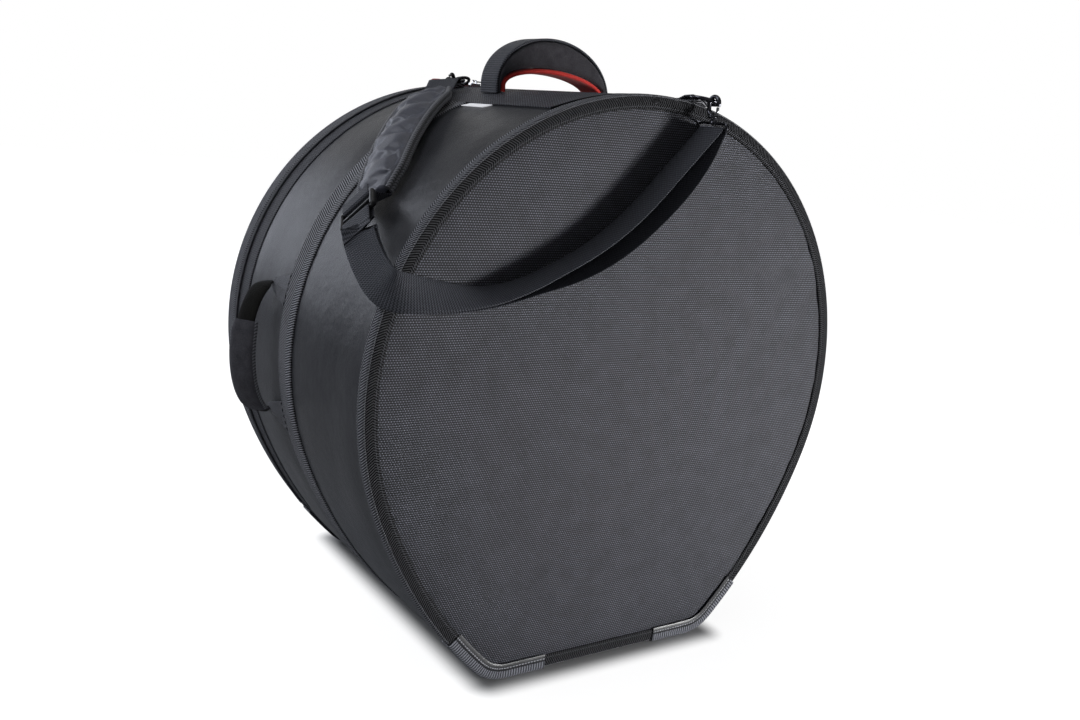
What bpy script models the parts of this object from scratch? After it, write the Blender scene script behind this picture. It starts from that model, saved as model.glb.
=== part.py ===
"""Bass drum bag: a padded case with a round top, drawn-in flanks and a flat foot.

+X is the bag's right as seen from its front, +Y points to the rear lid and +Z is up. The origin
is the centre of the whole bag's footprint on the floor. Every piece is drawn around the middle
of the case and hangs under one empty, which stands where that middle belongs.
"""

import math

import bmesh
import bpy
from mathutils import Matrix, Vector

# Gap between pieces that touch
seam_gap = 0.0003

# Case: the round top, the two bowed flanks and the corners of the foot
wall_radius = 0.3095
centre_height = 0.321
flank_radius = 0.532
flank_angle = math.radians(20.0)
corner_radius = 0.051
case_depth = 0.425
facet_angle = math.radians(5.0)

# Sandwich of the walls, from outside to inside
skin_thickness = 0.0014
padding_thickness = 0.012
lining_thickness = 0.001

# Braid folded round the front and rear edges, and the vinyl shells on its corners
binding_thickness = 0.002
binding_wall_width = 0.025
binding_face_width = 0.013
protector_thickness = 0.0012
protector_lap = 0.002
protector_flank_reach = 0.040

# Webbing
webbing_width = 0.038
webbing_thickness = 0.0014
band_centre = 0.004
band_thickness = 0.002

# Coarse strip over the top and the blank tag in its seam
strip_half_angle = math.radians(22.0)
strip_thickness = 0.0012
tag_length = 0.042
tag_drop = 0.011
tag_thickness = 0.0008
tag_offset = 0.012

# Zip: distance of its line from the rear edge, tapes and coils
zip_inset = 0.0365
zip_tape_width = 0.030
zip_tape_thickness = 0.0012
zip_free_width = 0.012
coil_radius = 0.0014
lid_tape_gap = 0.0008

# Lid that folds down about the line between the two ends of the zip
lid_hinge_height = 0.078
lid_gap = 0.0005

# Sliders and their pulls
slider_length = 0.014
slider_plate = 0.0015
slider_flange = 0.0012
slider_half_spacing = math.radians(1.62)
slider_centre_angle = math.radians(2.0)
slider_lift = 0.0006
bail_length = 0.007
bail_width = 0.0026
bail_height = 0.0045
bail_wall = 0.0011
pull_ring_radius = 0.0052
pull_wire_radius = 0.0007
pull_cord_length = 0.020
pull_cord_width = 0.0042
pull_cord_thickness = 0.0018
pull_tip_length = 0.013
pull_tip_width = 0.0062
pull_tip_thickness = 0.0034

# Top handle: webbing arch, plush crescent under it and the lining round its opening, free to flop
# to both sides over the strip
handle_half_span = 0.078
handle_rise = 0.0592
handle_lean = -0.006
handle_pivot_lift = 0.0078
handle_foot_radius = 0.0072
handle_flop = math.radians(35.0)
handle_clearance = 0.001
foot_turns = (math.radians(-80.0), math.radians(-60.0), math.radians(-40.0), math.radians(-20.0))
handle_webbing = 0.0024
handle_pad_at_foot = 0.0037
handle_pad_at_crown = 0.0313
handle_lining_thickness = 0.0065
handle_belly_share = 1.06
handle_first_turn = math.radians(2.5)
handle_turn_step = math.radians(7.5)

# Side handles
side_tip_angles = (math.radians(77.0), math.radians(104.0))
side_axis_from_centre = 0.0655
side_axis_lift = 0.0085
side_rise = 0.047
side_lean = math.radians(54.0)
side_webbing = 0.0050
side_width = 0.026
side_foot_radius = 0.0055
side_taper = 0.014
grip_wall = 0.0024
grip_start_share = 0.34
grip_end_share = 0.86
grip_corner_share = 0.2
grip_bore_share = 1.5
gusset_half_base = math.radians(3.4)
gusset_tip_half_width = 0.004
gusset_thickness = 0.0018
gusset_slope_share = 0.85

# Shoulder strap rings and their webbing tabs
ring_wire_radius = 0.002
ring_half_width = 0.0155
ring_straight = 0.0065
ring_corner_radius = 0.004
tab_width = 0.025
ring_angle = math.radians(10.3)
front_ring_setback = 0.002
front_tab_length = 0.026
rear_tab_length = 0.0175
rear_ring_tilt = math.radians(25.0)

# Snap hooks
hook_opening = 0.010
hook_bar = 0.0045
hook_thickness = 0.005
hook_rise = 0.015
hook_nose = 0.003
hook_foot = 0.004
hook_foot_back_share = 0.6
hook_foot_front_share = 0.75
hook_play = 0.0005
hook_edge = 0.0006
gate_share = 0.7
gate_clearance = 0.001
swivel_radius = 0.0032
swivel_length = 0.003
eye_bar = 0.003
eye_window = 0.0045
eye_side_clearance = 0.001
eye_thickness = 0.003

# Shoulder pad: angle from the top and share of half the case's depth, along its middle line
pad_width = 0.060
pad_thickness = 0.012
pad_lift = 0.0075
pad_line_shares = (
    (math.radians(23.0), 0.241),
    (math.radians(29.5), 0.087),
    (math.radians(36.0), -0.067),
    (math.radians(43.5), -0.241),
    (math.radians(50.5), -0.400),
    (math.radians(54.5), -0.480),
)
pad_end_share = 0.70
pad_ease_share = 0.125
pad_rim_share = 0.28
pad_edge_share = 0.82
pad_webbing_tail = 0.022

# Adjuster: a plate with two windows, tilted between the tangent and the Y axis
adjuster_angle = math.radians(58.8)
adjuster_y_share = -0.583
adjuster_offset = 0.0276
adjuster_tilt = math.radians(53.0)
adjuster_bar = 0.003
adjuster_window = 0.008
adjuster_side = 0.0035
adjuster_thickness = 0.003

# Doubled webbing from the adjuster over the wall: angle, share of half the case's depth, and the
# offset and half spread as shares of the webbing's width
strap_on_wall_shares = (
    (math.radians(62.8), -0.715, 0.658, 0.068),
    (math.radians(65.6), -0.819, 0.500, 0.053),
    (math.radians(67.9), -0.922, 0.316, 0.042),
    (math.radians(69.0), -0.993, 0.211, 0.039),
)
# and before the front: x and height over the round top's centre as shares of its radius, turn of the
# webbing's width from Y towards Z, half spread as a share of its width
strap_on_front_shares = (
    (-0.937, 0.360, math.radians(74.0), 0.039),
    (-0.892, 0.359, math.radians(57.0), 0.039),
    (-0.801, 0.347, math.radians(40.0), 0.039),
    (-0.701, 0.344, math.radians(24.0), 0.039),
    (-0.595, 0.352, math.radians(11.0), 0.047),
    (-0.496, 0.381, math.radians(4.0), 0.092),
    (-0.374, 0.417, math.radians(0.0), 0.189),
    (-0.225, 0.480, math.radians(0.0), 0.250),
    (-0.074, 0.596, math.radians(0.0), 0.276),
    (0.058, 0.733, math.radians(0.0), 0.289),
    (0.136, 0.832, math.radians(0.0), 0.211),
)
strap_steps = 3
bar_lead = 0.0065

# How far the strap stands out in front of the case, and the protectors behind it
front_reach = 0.045

cut_overrun = 0.004
weld_distance = 0.0000005

strap_clearance = front_reach - webbing_width - eye_side_clearance - eye_bar
half_depth = case_depth / 2
base_height = seam_gap + binding_thickness + seam_gap + protector_thickness
rear_reach = seam_gap + protector_thickness
body_shift = (front_reach - rear_reach) / 2
zip_line = half_depth - zip_inset
band_front = band_centre - webbing_width / 2
band_rear = band_centre + webbing_width / 2


def clear_scene():
    for item in list(bpy.data.objects):
        bpy.data.objects.remove(item, do_unlink=True)


clear_scene()
case_middle = bpy.data.objects.new("case_middle", None)
case_middle.location = (0.0, body_shift, 0.0)
bpy.context.collection.objects.link(case_middle)


def finish(name, colour, roughness, metallic=0.0):
    """A plain surface in a linear colour."""
    made = bpy.data.materials.new(name)
    made.use_nodes = True
    shader = made.node_tree.nodes["Principled BSDF"]
    shader.inputs["Base Color"].default_value = (*colour, 1.0)
    shader.inputs["Roughness"].default_value = roughness
    shader.inputs["Metallic"].default_value = metallic
    return made


ballistic_nylon = finish("ballistic_nylon", (0.028, 0.029, 0.032), 0.7)
satin_nylon = finish("satin_nylon", (0.040, 0.042, 0.048), 0.45)
grey_foam = finish("grey_foam", (0.16, 0.16, 0.17), 0.95)
plush_lining = finish("plush_lining", (0.05, 0.05, 0.055), 0.9)
black_braid = finish("black_braid", (0.018, 0.018, 0.019), 0.75)
black_webbing = finish("black_webbing", (0.022, 0.022, 0.024), 0.6)
black_vinyl = finish("black_vinyl", (0.035, 0.036, 0.040), 0.3)
black_velour = finish("black_velour", (0.012, 0.012, 0.012), 0.95)
red_nylon = finish("red_nylon", (0.60, 0.015, 0.015), 0.6)
white_satin = finish("white_satin", (0.80, 0.80, 0.80), 0.5)
black_plastic = finish("black_plastic", (0.015, 0.015, 0.016), 0.35)
black_nickel = finish("black_nickel", (0.10, 0.10, 0.11), 0.22, 1.0)
bright_nickel = finish("bright_nickel", (0.60, 0.60, 0.60), 0.2, 1.0)
grey_cord = finish("grey_cord", (0.25, 0.25, 0.26), 0.7)


def place(name, data, surface, pivot=None, round_angle=None):
    """An object under the case's empty or under a joint's, its data drawn around the case's middle."""
    data.materials.append(surface)
    item = bpy.data.objects.new(name, data)
    bpy.context.collection.objects.link(item)
    item.parent = pivot or case_middle
    if pivot:
        item.location = -pivot.location
    if round_angle:
        data.shade_smooth()
        data.set_sharp_from_angle(angle=round_angle)
    return item


def joint_empty(name, location):
    pivot = bpy.data.objects.new(name, None)
    pivot.location = location
    pivot.parent = case_middle
    bpy.context.collection.objects.link(pivot)
    return pivot


def mesh_from(form, name):
    """Closes a bmesh into a mesh with its faces turned outwards."""
    bmesh.ops.recalc_face_normals(form, faces=form.faces)
    if form.calc_volume(signed=True) < 0:
        bmesh.ops.reverse_faces(form, faces=form.faces)
    data = bpy.data.meshes.new(name)
    form.to_mesh(data)
    form.free()
    return data


def loft(sections, closed=False):
    """A skin over a row of equal point loops, capped at its ends or closed into a ring."""
    form = bmesh.new()
    rings = [[form.verts.new(point) for point in section] for section in sections]
    pairs = list(zip(rings, rings[1:]))
    if closed:
        pairs.append((rings[-1], rings[0]))
    count = len(rings[0])
    for near, far in pairs:
        for i in range(count):
            after = (i + 1) % count
            form.faces.new((near[i], near[after], far[after], far[i]))
    if not closed:
        form.faces.new(rings[0])
        form.faces.new(rings[-1])
    return form


def trim(form, height, keep_above):
    """Cuts a form at a level and closes the cut."""
    parts = form.verts[:] + form.edges[:] + form.faces[:]
    cut = bmesh.ops.bisect_plane(
        form, geom=parts, dist=weld_distance, plane_co=(0.0, 0.0, height), plane_no=(0.0, 0.0, 1.0),
        clear_inner=keep_above, clear_outer=not keep_above)
    edges = [piece for piece in cut["geom_cut"] if isinstance(piece, bmesh.types.BMEdge)]
    bmesh.ops.edgenet_fill(form, edges=edges)
    return form


# Outline of the case, as arcs that all pieces share

def arc(centre, radius, start, end):
    steps = max(2, math.ceil(abs(end - start) / facet_angle))
    return [(centre, radius, start + (end - start) * i / steps) for i in range(steps + 1)]


def flank_and_corner():
    """Centres of the right flank and corner arcs, and the angle at which they meet."""
    toward = Vector((math.cos(flank_angle), -math.sin(flank_angle)))
    top = Vector((0.0, centre_height)) + toward * wall_radius
    flank = top - toward * flank_radius
    corner_z = base_height + corner_radius
    reach = flank_radius - corner_radius
    corner_x = flank.x + math.sqrt(reach ** 2 - (corner_z - flank.y) ** 2)
    corner = Vector((corner_x, corner_z))
    out = corner - flank
    return flank, corner, math.atan2(out.y, out.x)


flank_centre, corner_centre, corner_turn = flank_and_corner()
circle_centre = Vector((0.0, centre_height))


def mirrored(stations):
    return [(Vector((-c.x, c.y)), r, math.pi - a) for c, r, a in reversed(stations)]


right_corner = arc(corner_centre, corner_radius, -math.pi / 2, corner_turn)
right_flank = arc(flank_centre, flank_radius, corner_turn, -flank_angle)[1:]
crown = arc(circle_centre, wall_radius, -flank_angle, math.pi + flank_angle)[1:]
whole_outline = right_corner + right_flank + crown[:-1] + mirrored(right_flank) + mirrored(right_corner)


def at(station, outset):
    """Point of the outline's plane that lies outset beyond the wall at a station."""
    centre, radius, angle = station
    return centre + Vector((math.cos(angle), math.sin(angle))) * (radius + outset)


def strip(stations, section, closed):
    """A section of (outset, y) points carried along the outline."""
    sections = []
    for station in stations:
        spots = [(at(station, outset), y) for outset, y in section]
        sections.append([(spot.x, y, spot.y) for spot, y in spots])
    return loft(sections, closed)


def box_section(low, high, front, rear):
    return [(low, front), (high, front), (high, rear), (low, rear)]


def panel(outset, front, rear):
    """A flat panel of the case's outline."""
    form = bmesh.new()
    spots = [at(station, outset) for station in whole_outline]
    face = form.faces.new([form.verts.new((spot.x, front, spot.y)) for spot in spots])
    grown = bmesh.ops.extrude_face_region(form, geom=[face])
    moved = [piece for piece in grown["geom"] if isinstance(piece, bmesh.types.BMVert)]
    bmesh.ops.translate(form, verts=moved, vec=(0.0, rear - front, 0.0))
    return form


# Layers of the sandwich, as depths below the wall's outer face
padding_top = -(skin_thickness + seam_gap)
padding_bottom = padding_top - padding_thickness
lining_top = padding_bottom - seam_gap
lining_bottom = lining_top - lining_thickness
wall_stack = -padding_bottom
face_outset = half_depth - binding_thickness - seam_gap
panel_padding_front = face_outset - skin_thickness - seam_gap
panel_padding_rear = panel_padding_front - padding_thickness
panel_lining_front = panel_padding_rear - seam_gap
panel_lining_rear = panel_lining_front - lining_thickness
body_end = zip_line - zip_free_width
lid_start = zip_line + zip_free_width


def build_walls():
    seam = band_centre
    place("wall_skin_front", mesh_from(strip(
        whole_outline, box_section(-skin_thickness, 0.0, -face_outset, seam - seam_gap), True),
        "wall_skin_front"), satin_nylon, round_angle=facet_angle * 2)
    place("wall_skin_rear", mesh_from(strip(
        whole_outline, box_section(-skin_thickness, 0.0, seam, body_end), True),
        "wall_skin_rear"), satin_nylon, round_angle=facet_angle * 2)
    place("wall_padding", mesh_from(strip(
        whole_outline, box_section(padding_bottom, padding_top, -panel_padding_rear + seam_gap, body_end),
        True), "wall_padding"), grey_foam, round_angle=facet_angle * 2)
    cup = place("body_lining", mesh_from(panel(lining_top, -panel_lining_front, body_end), "body_lining"),
                plush_lining, round_angle=facet_angle * 2)
    hollow = panel(lining_bottom, -panel_lining_rear, body_end + cut_overrun)
    combine(cup, tool_object(hollow, "body_lining_hollow"), "DIFFERENCE")


def build_front_panel():
    layers = (
        ("front_panel_skin", ballistic_nylon, face_outset, face_outset - skin_thickness),
        ("front_panel_padding", grey_foam, panel_padding_front, panel_padding_rear),
    )
    for name, surface, outer, inner in layers:
        place(name, mesh_from(panel(padding_top, -outer, -inner), name), surface)


def binding_section(side, wall_width=binding_wall_width, face_width=binding_face_width, lift=seam_gap,
                    thickness=binding_thickness):
    """An L that wraps the wall's edge, open towards the middle of the case; side is -1 at the front."""
    edge = face_outset + lift
    return [
        (lift, side * (edge + thickness - wall_width)),
        (lift + thickness, side * (edge + thickness - wall_width)),
        (lift + thickness, side * (edge + thickness)),
        (-face_width, side * (edge + thickness)),
        (-face_width, side * edge),
        (lift, side * edge),
    ]


def protector_section(side):
    lift = seam_gap + binding_thickness + seam_gap
    return binding_section(side, binding_wall_width + protector_lap + protector_thickness,
                           binding_face_width + protector_lap, lift, protector_thickness)


def protector_stations():
    """From the foot's flat, round the corner and a hand's breadth up the flank."""
    climb = corner_turn + protector_flank_reach / flank_radius
    foot_run = Vector((corner_centre.x - corner_radius, corner_centre.y))
    start = (foot_run, corner_radius, -math.pi / 2)
    return [start] + right_corner + arc(flank_centre, flank_radius, corner_turn, climb)[1:]


def build_edges():
    place("front_binding", mesh_from(strip(whole_outline, binding_section(-1), True), "front_binding"),
          black_braid, round_angle=facet_angle * 2)
    rear = strip(whole_outline, binding_section(1), True)
    place("rear_binding_base", mesh_from(trim(rear, lid_hinge_height - lid_gap, False), "rear_binding_base"),
          black_braid)
    for side, ends in ((-1, "front"), (1, "rear")):
        for stations, hand in ((protector_stations(), "right"), (mirrored(protector_stations()), "left")):
            name = f"corner_protector_{ends}_{hand}"
            place(name, mesh_from(strip(stations, protector_section(side), False), name), black_vinyl)


def build_band():
    """Webbing round the case, its ends under the seams of the top strip."""
    edge = math.pi / 2 - strip_half_angle - seam_gap / wall_radius
    right = arc(circle_centre, wall_radius, edge, -flank_angle)
    run = list(reversed(right_corner + right_flank))
    stations = right[:-1] + run + mirrored(run) + mirrored(right[:-1])
    section = box_section(seam_gap, seam_gap + band_thickness, band_front, band_rear)
    place("webbing_band", mesh_from(strip(stations, section, False), "webbing_band"), black_webbing,
          round_angle=facet_angle * 2)


def build_top_strip():
    front = -(half_depth - binding_wall_width - seam_gap)
    rear = zip_line - zip_tape_width - 2 * seam_gap
    top = math.pi / 2
    stations = arc(circle_centre, wall_radius, top - strip_half_angle, top + strip_half_angle)
    section = box_section(seam_gap, seam_gap + strip_thickness, front, rear)
    place("top_strip", mesh_from(strip(stations, section, False), "top_strip"), ballistic_nylon,
          round_angle=facet_angle * 2)
    tag_start = top + strip_half_angle + seam_gap / wall_radius
    stations = arc(circle_centre, wall_radius, tag_start, tag_start + tag_drop / wall_radius)
    section = box_section(seam_gap, seam_gap + tag_thickness, band_front - tag_offset - tag_length,
                          band_front - tag_offset)
    place("blank_tag", mesh_from(strip(stations, section, False), "blank_tag"), white_satin)


def coil_section(y):
    """Six-sided section of a closed coil that lies on its tape."""
    middle = seam_gap + zip_tape_thickness + seam_gap + coil_radius
    turns = [math.pi / 3 * i for i in range(6)]
    return [(middle + coil_radius * math.sin(turn), y + coil_radius * math.cos(turn)) for turn in turns]


def open_run():
    """Stations above the foot's corners, where zip, lid rim and rear binding run."""
    run = right_corner[1:] + right_flank
    return run + crown[:-1] + mirrored(run)


def build_body_zip():
    tape = box_section(seam_gap, seam_gap + zip_tape_thickness, zip_line - zip_tape_width,
                       zip_line - lid_tape_gap / 2)
    coil = coil_section(zip_line - coil_radius - seam_gap / 2)
    halves = (("zip_tape_body", tape, black_braid), ("zip_coil_body", coil, black_plastic))
    for name, section, surface in halves:
        form = trim(strip(open_run(), section, False), lid_hinge_height + lid_gap, True)
        place(name, mesh_from(form, name), surface, round_angle=facet_angle * 2)


def build_rear_foot():
    """The padded sill under the lid, which stays with the case."""
    sill = trim(panel(0.0, body_end + seam_gap, face_outset), lid_hinge_height - lid_gap, False)
    lower = place("rear_sill", mesh_from(sill, "rear_sill"), ballistic_nylon)
    hollow = panel(padding_bottom, body_end - cut_overrun, panel_padding_rear)
    combine(lower, tool_object(hollow, "rear_sill_hollow"), "DIFFERENCE")


def build_lid():
    pivot = joint_empty("lid_pivot", (0.0, half_depth, lid_hinge_height))
    level = lid_hinge_height + lid_gap
    layers = (
        ("lid_skin", ballistic_nylon, face_outset - skin_thickness, face_outset),
        ("lid_padding", grey_foam, panel_padding_rear, panel_padding_front),
        ("lid_lining", plush_lining, panel_lining_rear, panel_lining_front),
    )
    for name, surface, inner, outer in layers:
        form = trim(panel(padding_top, inner, outer), level, True)
        place(name, mesh_from(form, name), surface, pivot)
    rims = (
        ("lid_rim_skin", satin_nylon, box_section(-skin_thickness, 0.0, lid_start, face_outset)),
        ("lid_rim_padding", grey_foam,
         box_section(padding_bottom, padding_top, lid_start, panel_lining_rear - seam_gap)),
        ("zip_tape_lid", black_braid,
         box_section(seam_gap, seam_gap + zip_tape_thickness, zip_line + lid_tape_gap / 2,
                     half_depth - binding_wall_width - seam_gap)),
        ("zip_coil_lid", black_plastic, coil_section(zip_line + coil_radius + seam_gap / 2)),
        ("rear_binding_lid", black_braid, binding_section(1)),
    )
    for name, surface, section in rims:
        form = trim(strip(open_run(), section, False), level, True)
        place(name, mesh_from(form, name), surface, pivot, round_angle=facet_angle * 2)


# Frames on the round part of the wall, by the angle from the top towards the left

def wall_frame(angle, y, outset):
    """Origin, tangent towards the left foot, and normal."""
    normal = Vector((-math.sin(angle), 0.0, math.cos(angle)))
    tangent = Vector((-math.cos(angle), 0.0, -math.sin(angle)))
    origin = circle_centre.to_3d().xzy + normal * (wall_radius + outset) + Vector((0.0, y, 0.0))
    return origin, tangent, normal


def frame_matrix(origin, u, v, w):
    basis = Matrix((u, v, w)).transposed().to_4x4()
    return Matrix.Translation(origin) @ basis


def block(low, high):
    """A box between two corners."""
    form = bmesh.new()
    bmesh.ops.create_cube(form, size=1.0)
    low, high = Vector(low), Vector(high)
    bmesh.ops.scale(form, verts=form.verts, vec=high - low)
    bmesh.ops.translate(form, verts=form.verts, vec=(low + high) / 2)
    return form


def slab(outline_points, thickness):
    """A flat shape in u and w, as thick as asked along v."""
    form = bmesh.new()
    face = form.faces.new([form.verts.new((u, -thickness / 2, w)) for u, w in outline_points])
    grown = bmesh.ops.extrude_face_region(form, geom=[face])
    moved = [piece for piece in grown["geom"] if isinstance(piece, bmesh.types.BMVert)]
    bmesh.ops.translate(form, verts=moved, vec=(0.0, thickness, 0.0))
    return form


def combine(target, tool, operation):
    tool.hide_render = True
    tool.display_type = "WIRE"
    cut = target.modifiers.new(operation.lower(), "BOOLEAN")
    cut.operation = operation
    cut.object = tool


def tool_object(form, name, pivot=None):
    return place(name, mesh_from(form, name), black_plastic, pivot)


def rounded(item, width):
    edge = item.modifiers.new("eased_edges", "BEVEL")
    edge.width = width
    edge.segments = 2
    edge.limit_method = "ANGLE"


def wire_ring(name, points, radius, surface, pivot=None, resolution=2):
    """A closed wire along a loop of points."""
    data = bpy.data.curves.new(name, "CURVE")
    data.dimensions = "3D"
    data.bevel_depth = radius
    data.bevel_resolution = resolution
    line = data.splines.new("POLY")
    line.points.add(len(points) - 1)
    for spot, point in zip(line.points, points):
        spot.co = (*point, 1.0)
    line.use_cyclic_u = True
    return place(name, data, surface, pivot)


# Sliders

def build_sliders():
    top = seam_gap + zip_tape_thickness + seam_gap + 2 * coil_radius + slider_lift
    half_width = 2 * coil_radius + seam_gap + slider_flange
    drum_axis = (0.0, zip_line, centre_height)
    for hand, sign in (("left", 1), ("right", -1)):
        middle = slider_centre_angle + sign * slider_half_spacing
        origin, tangent, normal = wall_frame(middle, zip_line, 0.0)
        along = tangent * sign
        frame = frame_matrix(origin, along, normal.cross(along), normal)
        across = (frame.to_3x3() @ Vector((0.0, 1.0, 0.0))).y
        pivot = joint_empty(f"slider_pivot_{hand}", drum_axis)
        half = slider_length / 2
        plate = block((-half, -half_width, top), (half, half_width, top + slider_plate))
        plate.transform(frame)
        name = f"zip_slider_{hand}"
        slider = place(name, mesh_from(plate, name), bright_nickel, pivot)
        low = seam_gap + zip_tape_thickness + seam_gap
        near = -across * half_width
        far = -across * (half_width - slider_flange)
        flange = block((-half, min(near, far), low), (half, max(near, far), top + slider_plate / 2))
        flange.transform(frame)
        combine(slider, tool_object(flange, f"{name}_flange", pivot), "UNION")
        build_bail(slider, frame, top, pivot, name)
        build_pull(frame, top, hand, pivot)


def build_bail(slider, frame, top, pivot, name):
    """Bridge on the slider that holds the pull's ring."""
    foot = top + slider_plate / 2
    crest = top + slider_plate + bail_height
    half = bail_length / 2
    inner = half - bail_wall
    low = crest - 2 * bail_wall
    points = [(-half, foot), (-inner, foot), (-inner, low), (-inner / 2, crest - bail_wall),
              (inner / 2, crest - bail_wall), (inner, low), (inner, foot), (half, foot),
              (half, crest - bail_wall), (inner, crest), (-inner, crest), (-half, crest - bail_wall)]
    bridge = slab(points, bail_width)
    bridge.transform(frame)
    combine(slider, tool_object(bridge, f"{name}_bail", pivot), "UNION")


def pull_axis_height(top):
    return top + slider_plate + bail_height - bail_wall - pull_wire_radius - seam_gap


def build_pull(frame, top, hand, slider_pivot):
    """Ring, cord and tip, laid along the zip away from the other slider."""
    height = pull_axis_height(top)
    pivot = joint_empty(f"pull_pivot_{hand}", frame @ Vector((0.0, 0.0, height)))
    turns = [math.radians(20.0) * i for i in range(18)]
    ring = [frame @ Vector((pull_ring_radius + pull_ring_radius * math.cos(turn),
                            pull_ring_radius * math.sin(turn), height)) for turn in turns]
    wire_ring(f"pull_ring_{hand}", ring, pull_wire_radius, bright_nickel, pivot, 1)
    start = 2 * pull_ring_radius + pull_wire_radius + seam_gap
    end = start + pull_cord_length
    cord = block((start, -pull_cord_width / 2, height - pull_cord_thickness / 2),
                 (end, pull_cord_width / 2, height + pull_cord_thickness / 2))
    cord.transform(frame)
    cord_piece = place(f"pull_cord_{hand}", mesh_from(cord, "pull_cord"), grey_cord, pivot)
    rounded(cord_piece, pull_cord_thickness / 4)
    start = end + seam_gap
    end = start + pull_tip_length
    tip = block((start, -pull_tip_width / 2, height - pull_tip_thickness / 2),
                (end, pull_tip_width / 2, height + pull_tip_thickness / 2))
    tip.transform(frame)
    tip_piece = place(f"pull_tip_{hand}", mesh_from(tip, "pull_tip"), red_nylon, pivot)
    rounded(tip_piece, pull_tip_thickness / 4)


# Ribbons

def ribbon(spots, sides, widths, thickness, closed=False):
    """A flat band through spots; sides are the directions of its width."""
    count = len(spots)
    sections = []
    for i, spot in enumerate(spots):
        before = spots[(i - 1) % count] if closed else spots[max(i - 1, 0)]
        after = spots[(i + 1) % count] if closed else spots[min(i + 1, count - 1)]
        along = (after - before).normalized()
        side = (sides[i] - along * sides[i].dot(along)).normalized()
        normal = along.cross(side)
        across = side * (widths[i] / 2)
        up = normal * (thickness / 2)
        sections.append([spot - across - up, spot + across - up, spot + across + up, spot - across + up])
    return loft(sections, closed)


def smooth_run(points, steps):
    """Points on a smooth curve through the given ones."""
    run = []
    last = len(points) - 1
    for i in range(last):
        a = points[max(i - 1, 0)]
        b, c = points[i], points[i + 1]
        d = points[min(i + 2, last)]
        for step in range(steps):
            t = step / steps
            run.append(0.5 * (2 * b + (c - a) * t + (2 * a - 5 * b + 4 * c - d) * t ** 2
                              + (3 * b - a - 3 * c + d) * t ** 3))
    run.append(points[last].copy())
    return run


# Top handle

def handle_turns():
    """Angles of the arch's sections, closer together at its feet."""
    inner = []
    turn = handle_turn_step
    while turn < math.pi - handle_first_turn:
        inner.append(turn)
        turn += handle_turn_step
    return [0.0, handle_first_turn, *inner, math.pi - handle_first_turn, math.pi]


def handle_arch(half_span, rise, pivot_z, turns):
    """Half an ellipse over the top of the case, its crown leaning to one side."""
    spots = []
    for turn in turns:
        x = half_span * math.cos(turn) + handle_lean * math.sin(turn)
        spots.append(Vector((x, band_centre, pivot_z + rise * math.sin(turn))))
    return spots


def handle_half_width(spot, pivot_z):
    """Half of the width that clears the strip while the handle flops over."""
    strip_radius = wall_radius + seam_gap + strip_thickness + seam_gap
    surface_z = centre_height + math.sqrt(strip_radius ** 2 - spot.x ** 2)
    room = (spot.z - pivot_z) * math.cos(handle_flop) + pivot_z - surface_z - handle_clearance
    return min(webbing_width / 2, room / math.sin(handle_flop))


def round_foot(spot, way, radius):
    """Spots and widths of a strap's half-round end, centred on the axis it swings about."""
    spots = [spot + way * radius * math.sin(turn) for turn in foot_turns]
    return spots, [2 * radius * math.cos(turn) for turn in foot_turns]


def build_top_handle():
    lift = seam_gap + strip_thickness + seam_gap
    foot_angle = math.asin(handle_half_span / (wall_radius + lift))
    surface_z = centre_height + (wall_radius + lift) * math.cos(foot_angle)
    pivot_z = surface_z + handle_pivot_lift
    pivot = joint_empty("top_handle_pivot", (0.0, band_centre, pivot_z))
    foot, _ = round_foot(Vector((handle_half_span, band_centre, pivot_z)), Vector((0.0, 0.0, 1.0)),
                         handle_foot_radius)
    other_foot = [Vector((-spot.x, spot.y, spot.z)) for spot in reversed(foot)]
    spots = foot + handle_arch(handle_half_span, handle_rise, pivot_z, handle_turns()) + other_foot
    widths = [2 * handle_half_width(spot, pivot_z) for spot in spots]
    sides = [Vector((0.0, 1.0, 0.0))] * len(spots)
    place("handle_webbing", mesh_from(ribbon(spots, sides, widths, handle_webbing), "handle_webbing"),
          black_webbing, pivot, round_angle=math.radians(30.0))
    build_handle_grip(pivot_z, pivot)


def build_handle_grip(pivot_z, pivot):
    """Plush crescent between the webbing and the opening, and the lining round the opening."""
    turns = handle_turns()[1:-1]
    inset = handle_webbing / 2 + seam_gap
    wide = handle_half_span - inset - handle_pad_at_foot - seam_gap
    high = handle_rise - inset - handle_pad_at_crown - seam_gap
    pad_top = handle_arch(handle_half_span - inset, handle_rise - inset, pivot_z, turns)
    pad_bottom = handle_arch(wide + seam_gap, high + seam_gap, pivot_z, turns)
    lining_top = handle_arch(wide, high, pivot_z, turns)
    lining_bottom = handle_arch(wide - handle_lining_thickness, high - handle_lining_thickness, pivot_z, turns)
    pad_sections = []
    for top, bottom in zip(pad_top, pad_bottom):
        top_half = Vector((0.0, handle_half_width(top, pivot_z), 0.0))
        bottom_half = Vector((0.0, handle_half_width(bottom, pivot_z), 0.0))
        middle = (top + bottom) / 2
        belly = (top_half + bottom_half) / 2 * handle_belly_share
        pad_sections.append([top - top_half, top + top_half, middle + belly,
                             bottom + bottom_half, bottom - bottom_half, middle - belly])
    lining_sections = []
    for top, bottom in zip(lining_top, lining_bottom):
        half = Vector((0.0, handle_half_width(bottom, pivot_z), 0.0))
        lining_sections.append([top - half, top + half, bottom + half, bottom - half])
    place("handle_pad", mesh_from(loft(pad_sections), "handle_pad"), black_velour, pivot,
          round_angle=math.radians(40.0))
    place("handle_lining", mesh_from(loft(lining_sections), "handle_lining"), red_nylon, pivot,
          round_angle=math.radians(30.0))


# Side handles

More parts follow.
